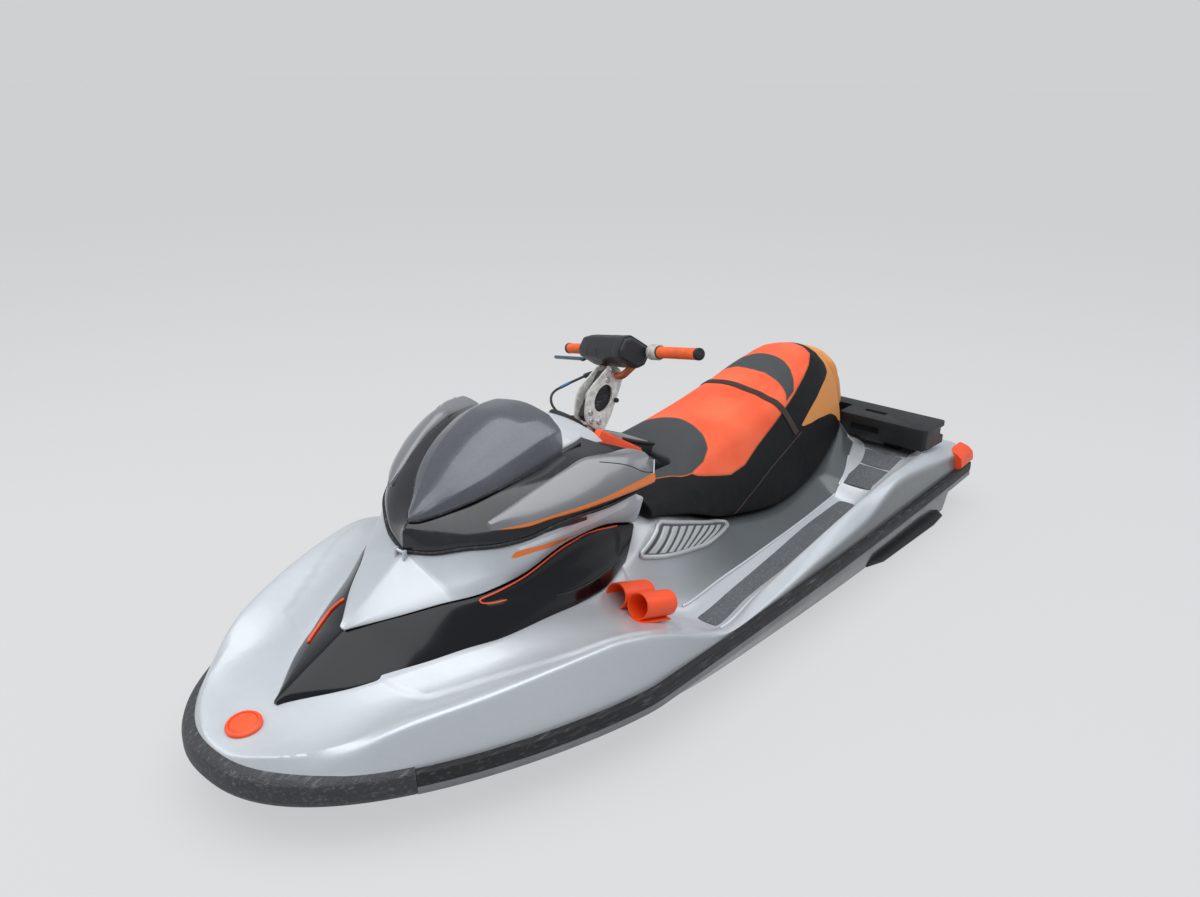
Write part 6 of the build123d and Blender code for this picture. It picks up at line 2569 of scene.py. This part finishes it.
    def gauge(self) -> None:
        """Dark glass in a raised bezel, with plain marks round its edge."""
        axis = Vector(self.gauge_axis)
        bezel = [
            (0.046, -0.006), (0.057, -0.006), (0.057, 0.006), (0.0545, 0.0095), (0.049, 0.0095),
            (0.046, 0.005),
        ]
        finish_piece(revolved("gauge_bezel", bezel, self.gauge_place, axis), Body.CRAFT, Slot.black_plastic)
        glass = [(0.0, -0.004), (0.0466, -0.004), (0.0466, 0.0045), (0.03, 0.0056), (0.0, 0.006)]
        face = revolved("gauge_face", glass, self.gauge_place, axis)
        finish_piece(face, Body.CRAFT, Slot.gauge_glass, "gauge")
        turn = Matrix.Translation(self.gauge_place) @ axis.to_track_quat("Z", "Y").to_matrix().to_4x4()
        marks = []
        for k in range(self.gauge_marks):
            spin = Matrix.Rotation(math.radians(-130.0 + 260.0 * k / (self.gauge_marks - 1)), 4, "Z")
            mark = box_piece("mark", (-0.0007, 0.034, 0.0035), (0.0007, 0.041, 0.0058))
            marks.append(moved(mark, turn @ spin))
        finish_piece(joined("gauge_ticks", marks), Body.CRAFT, Slot.silver_plastic)

    def plates(self) -> None:
        """Steering plates with their bolts, the knob and the dark boot between them."""
        plates = refined("column_plates", "steering_plates", 0.0016)
        finish_piece(plates, Body.STEERING, Slot.pale_aluminium, "steering_plates")
        head = (
            (0.0, 0.0), (0.0085, 0.0), (0.0085, 0.003), (0.0068, 0.0045), (0.0042, 0.0045), (0.0034, 0.0018),
            (0.0, 0.0018),
        )
        places = [(x, self.plate_face, z) for x, z in self.bolts]
        heads = [revolved("bolt", head, place, (0.0, 1.0, 0.0), 24) for place in places]
        bolts = moved(both_sides(joined("plate_bolts", heads)), COLUMN.matrix())
        finish_piece(bolts, Body.STEERING, Slot.steel)
        knob = [(0.0, 0.0), (0.006, 0.0), (0.0075, 0.002), (0.0075, 0.008), (0.006, 0.0105), (0.0, 0.0115)]
        piece = revolved("plate_knob", knob, self.knob_place, (0.0, 1.0, 0.0), 32)
        finish_piece(moved(piece, COLUMN.matrix()), Body.STEERING, Slot.black_plastic)
        rows = []
        for x, low, high in self.boot:
            middle = (25.0, (low + high) / 2)
            rows.append((x, ((0.0, low), (22.0, low), middle, (22.0, high), (0.0, high))))
        boot = Skin(tuple(rows), (0.0, 4.0, 20.0, 4.0, 0.0), 9.0)
        finish_piece(moved(boot.build("column_boot", 1), COLUMN.matrix()), Body.STEERING, Slot.black_rubber)

    def build(self) -> None:
        """Builds the console and what stands on it."""
        finish_piece(self.console(), Body.CRAFT, Slot.black_plastic, "console")
        finish_piece(self.binnacle(), Body.CRAFT, Slot.silver_plastic, "gauge_pod")
        pad = finish_piece(self.bar_pad(), Body.STEERING, Slot.pad_vinyl, "bar_pad")
        finish_piece(self.pad_bands(), Body.STEERING, Slot.pad_vinyl)
        self.grips()
        self.gauge()
        self.plates()
        self.glovebox()


# Hard fittings


def node_slots() -> dict[str, Slot]:
    """Slot of each node in the record."""
    return {part["node"]: Slot[part["material_slot"]] for part in frame["record"]["subparts"]}


@dataclass(frozen=True)
class Fittings:
    """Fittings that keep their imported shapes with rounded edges, and the vents."""

    rounded: tuple[tuple[str, Body, float], ...] = (
        ("rear_rack", Body.CRAFT, 0.007),
        ("tail_pedestal", Body.CRAFT, 0.006),
        ("aft_mat", Body.CRAFT, 0.003),
        ("sponsons", Body.CRAFT, 0.004),
        ("ride_plate", Body.CRAFT, 0.003),
        ("switch_housings", Body.STEERING, 0.004),
        ("hood_hinge", Body.CRAFT, 0.0015),
    )
    vent: Section = ((0.192, 0.400), (-0.228, 0.2455), (-0.003, 0.267), (0.307, 0.335))
    frame_ring: Section = (
        (0.03, 0.0), (0.97, 0.0), (1.0, 0.1), (1.0, 0.9), (0.97, 1.0), (0.03, 1.0), (0.0, 0.9), (0.0, 0.1)
    )
    ribs: int = 8
    rib_share: float = 0.64
    cup_place: Place = (0.40, 0.405, 0.246)
    cup_scale: float = 1.2
    cap_lean: Place = (0.16, 0.05, 1.0)

    def filler(self) -> Piece:
        """Round filler cap with a ring groove, leaning with the deck.

        Returns:
            The new piece.
        """
        low, high = (Vector(corner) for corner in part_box("filler_cap"))
        radius, deep = (high.x - low.x) / 2.0 + 0.003, high.z - low.z
        top = [
            (radius, -0.005), (radius - 0.003, -0.0015), (radius * 0.8, 0.0), (radius * 0.77, -0.003),
            (radius * 0.72, -0.001),
        ]
        profile = [(0.0, -deep), (radius, -deep), *top, (0.0, 0.0)]
        middle = (low + high) / 2.0
        return revolved("ringed_cap", profile, (middle.x, middle.y, high.z), self.cap_lean)

    def vents(self, tree: BVHTree) -> None:
        """Slotted vents: a dark plate, slanted pale ribs and a raised frame.

        Args:
            tree: The deck's skin.
        """
        plate = both_sides(laid_patch("vent_plate", tree, self.vent, (26, 8), 0.002))
        finish_piece(plate, Body.CRAFT, Slot.grey_plastic, "side_vents", look=Look.vent_dark)
        bars = []
        for k in range(self.ribs):
            first, last = (0.055 + 0.89 * (k + end) / self.ribs for end in (0.0, self.rib_share))
            shares = ((first, 0.1), (last, 0.1), (last, 0.9), (first, 0.9))
            corners = [inside_quad(self.vent, *place) for place in shares]
            bars.append(laid_patch(f"rib_{k}", tree, corners, (3, 8), 0.006))
        slats = both_sides(joined("vent_ribs", bars))
        finish_piece(slats, Body.CRAFT, Slot.grey_plastic, look=Look.vent_pale)
        ring = [inside_quad(self.vent, *place) for place in (*self.frame_ring, self.frame_ring[0])]
        edge = []
        for a, b in zip(ring, ring[1:]):
            edge += laid_line(tree, (a, b), 0.0015, 0.01)[:-1]
        border = both_sides(tube("vent_frame", edge, 0.0075, closed=True))
        finish_piece(border, Body.CRAFT, Slot.grey_plastic, look=Look.vent_pale)

    def build(self) -> None:
        """Builds the fittings."""
        slots = node_slots()
        for node, body, width in self.rounded:
            look = Slot.silver_gelcoat if node == "hood_hinge" else None
            finish_piece(refined(f"{node}_rounded", node, width), body, slots[node], node, look=look)
        finish_piece(self.filler(), Body.CRAFT, Slot.orange_plastic, "filler_cap")
        lever = refined("lever_rounded", "throttle_lever", 0.0025)
        finish_piece(lever, Body.STEERING, Slot.black_plastic, "throttle_lever", look=Look.lever_blue)
        place = Matrix.Translation(self.cup_place)
        grown = place @ Matrix.Scale(self.cup_scale, 4) @ place.inverted()
        cups = moved(refined("cups_rounded", "cup_holder", 0.002), grown)
        finish_piece(cups, Body.CRAFT, Slot.orange_plastic, "cup_holder")
        self.vents(skin_tree(bpy.data.objects["deck_shell"]))


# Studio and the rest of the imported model


@dataclass(frozen=True)
class Studio:
    """Pale floor, soft lamps and the camera."""

    camera_place: Place = (2.4419, 1.9841, 1.6996)
    camera_yaw: float = 220.787
    camera_drop: float = 20.733
    camera_roll: float = 0.622
    focal_pixels: float = 1043.6
    frame_width: float = 1200.0
    floor_size: float = 60.0
    floor_colour: Colour = (0.42, 0.43, 0.44)
    paper_colour: Colour = (0.82, 0.83, 0.84)
    glow_share: float = 0.66
    far_colour: Colour = (0.62, 0.632, 0.645)
    sky_colour: Colour = (0.9, 0.94, 1.0)
    sky_strength: float = 0.5
    lamp_aim: Place = (0.3, 0.1, 0.3)
    lamps: tuple[tuple[Place, float, float], ...] = (
        ((1.0, 0.2, 5.2), 8.0, 315.0),
        ((-3.5, 3.5, 3.5), 3.0, 32.0),
        ((3.6, -3.0, 2.6), 2.4, 26.0),
    )

    def camera(self) -> None:
        """Adds the camera at the photograph's place."""
        data = bpy.data.cameras.new("camera")
        data.sensor_width = 36.0
        data.lens = self.focal_pixels * data.sensor_width / self.frame_width
        eye = linked("camera", data)
        yaw, drop = math.radians(self.camera_yaw), math.radians(self.camera_drop)
        ahead = Vector((math.cos(drop) * math.cos(yaw), math.cos(drop) * math.sin(yaw), -math.sin(drop)))
        roll = Matrix.Rotation(math.radians(self.camera_roll), 3, "Z")
        turn = ahead.to_track_quat("-Z", "Y").to_matrix() @ roll
        eye.matrix_world = Matrix.Translation(self.camera_place) @ turn.to_4x4()
        bpy.context.scene.camera = eye

    def floor(self) -> None:
        """Adds the floor at the waterline."""
        mesh = bmesh.new()
        bmesh.ops.create_grid(mesh, x_segments=1, y_segments=1, size=self.floor_size)
        floor = new_object("floor", mesh)
        floor.data.materials.append(self.paper())

    def seen(self, graph: Graph) -> Value:
        """1 for rays from the camera and from mirrors and glass, 0 for those that light the craft.

        Args:
            graph: Graph of the material.

        Returns:
            The share.
        """
        path = graph.node("ShaderNodeLightPath")
        names = ("Is Camera Ray", "Is Glossy Ray", "Is Transmission Ray")
        first, second, third = (Value(graph, path.outputs[name]) for name in names)
        return first.larger(second).larger(third)

    def paper(self) -> bpy.types.Material:
        """Pale paper that keeps the craft's shadow and stays pale in the distance.

        Returns:
            The material.
        """
        graph = Graph("floor_paper")
        inputs = {"Base Color": self.floor_colour, "Roughness": 0.8}
        matt = graph.node("ShaderNodeBsdfPrincipled", None, inputs)
        glow = graph.node("ShaderNodeEmission", None, {"Color": self.paper_colour, "Strength": 1.0})
        shares = {0: self.seen(graph) * self.glow_share, 1: matt.outputs[0], 2: glow.outputs[0]}
        mixed = graph.node("ShaderNodeMixShader", None, shares)
        graph.node("ShaderNodeOutputMaterial", None, {"Surface": mixed.outputs[0]})
        return graph.material

    def light(self) -> None:
        """Adds the world and the lamps."""
        scene = bpy.context.scene
        scene.view_settings.view_transform = "Standard"
        world = bpy.data.worlds.new("sky")
        world.use_nodes = True
        nodes, links = world.node_tree.nodes, world.node_tree.links
        background = nodes["Background"]
        background.inputs[0].default_value = (*self.sky_colour, 1.0)
        background.inputs[1].default_value = self.sky_strength
        kinds = ("ShaderNodeBackground", "ShaderNodeLightPath", "ShaderNodeMixShader")
        pale, path, mixed = (nodes.new(kind) for kind in kinds)
        pale.inputs[0].default_value = (*self.far_colour, 1.0)
        links.new(path.outputs["Is Camera Ray"], mixed.inputs[0])
        links.new(background.outputs[0], mixed.inputs[1])
        links.new(pale.outputs[0], mixed.inputs[2])
        links.new(mixed.outputs[0], nodes["World Output"].inputs["Surface"])
        scene.world = world
        for index, (place, size, power) in enumerate(self.lamps):
            data = bpy.data.lights.new(f"lamp_{index}", "AREA")
            data.shape, data.size, data.energy = "DISK", size, power
            lamp = linked(data.name, data)
            aim = Vector(self.lamp_aim) - Vector(place)
            lamp.matrix_world = Matrix.Translation(place) @ aim.to_track_quat("-Z", "Y").to_matrix().to_4x4()

    def build(self) -> None:
        """Sets the studio up."""
        self.camera()
        self.floor()
        self.light()


def dress_nodes() -> None:
    """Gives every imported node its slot's finish."""
    slots = node_slots()
    for name, node in frame["nodes"].items():
        node.data.materials.clear()
        node.data.materials.append(WARDROBE.of(slots[name]))


def main() -> None:
    """Builds the craft piece by piece."""
    Studio().build()
    Cable().build()
    dress_nodes()
    forms = (
        HullForm(), DeckForm(), BumperForm(), NoseForm(), HoodForm(), SaddleForm(), HelmForm(), Fittings()
    )
    for part in forms:
        LOG.info("building %s", type(part).__name__)
        part.build()


if __name__ == "__main__":
    main()
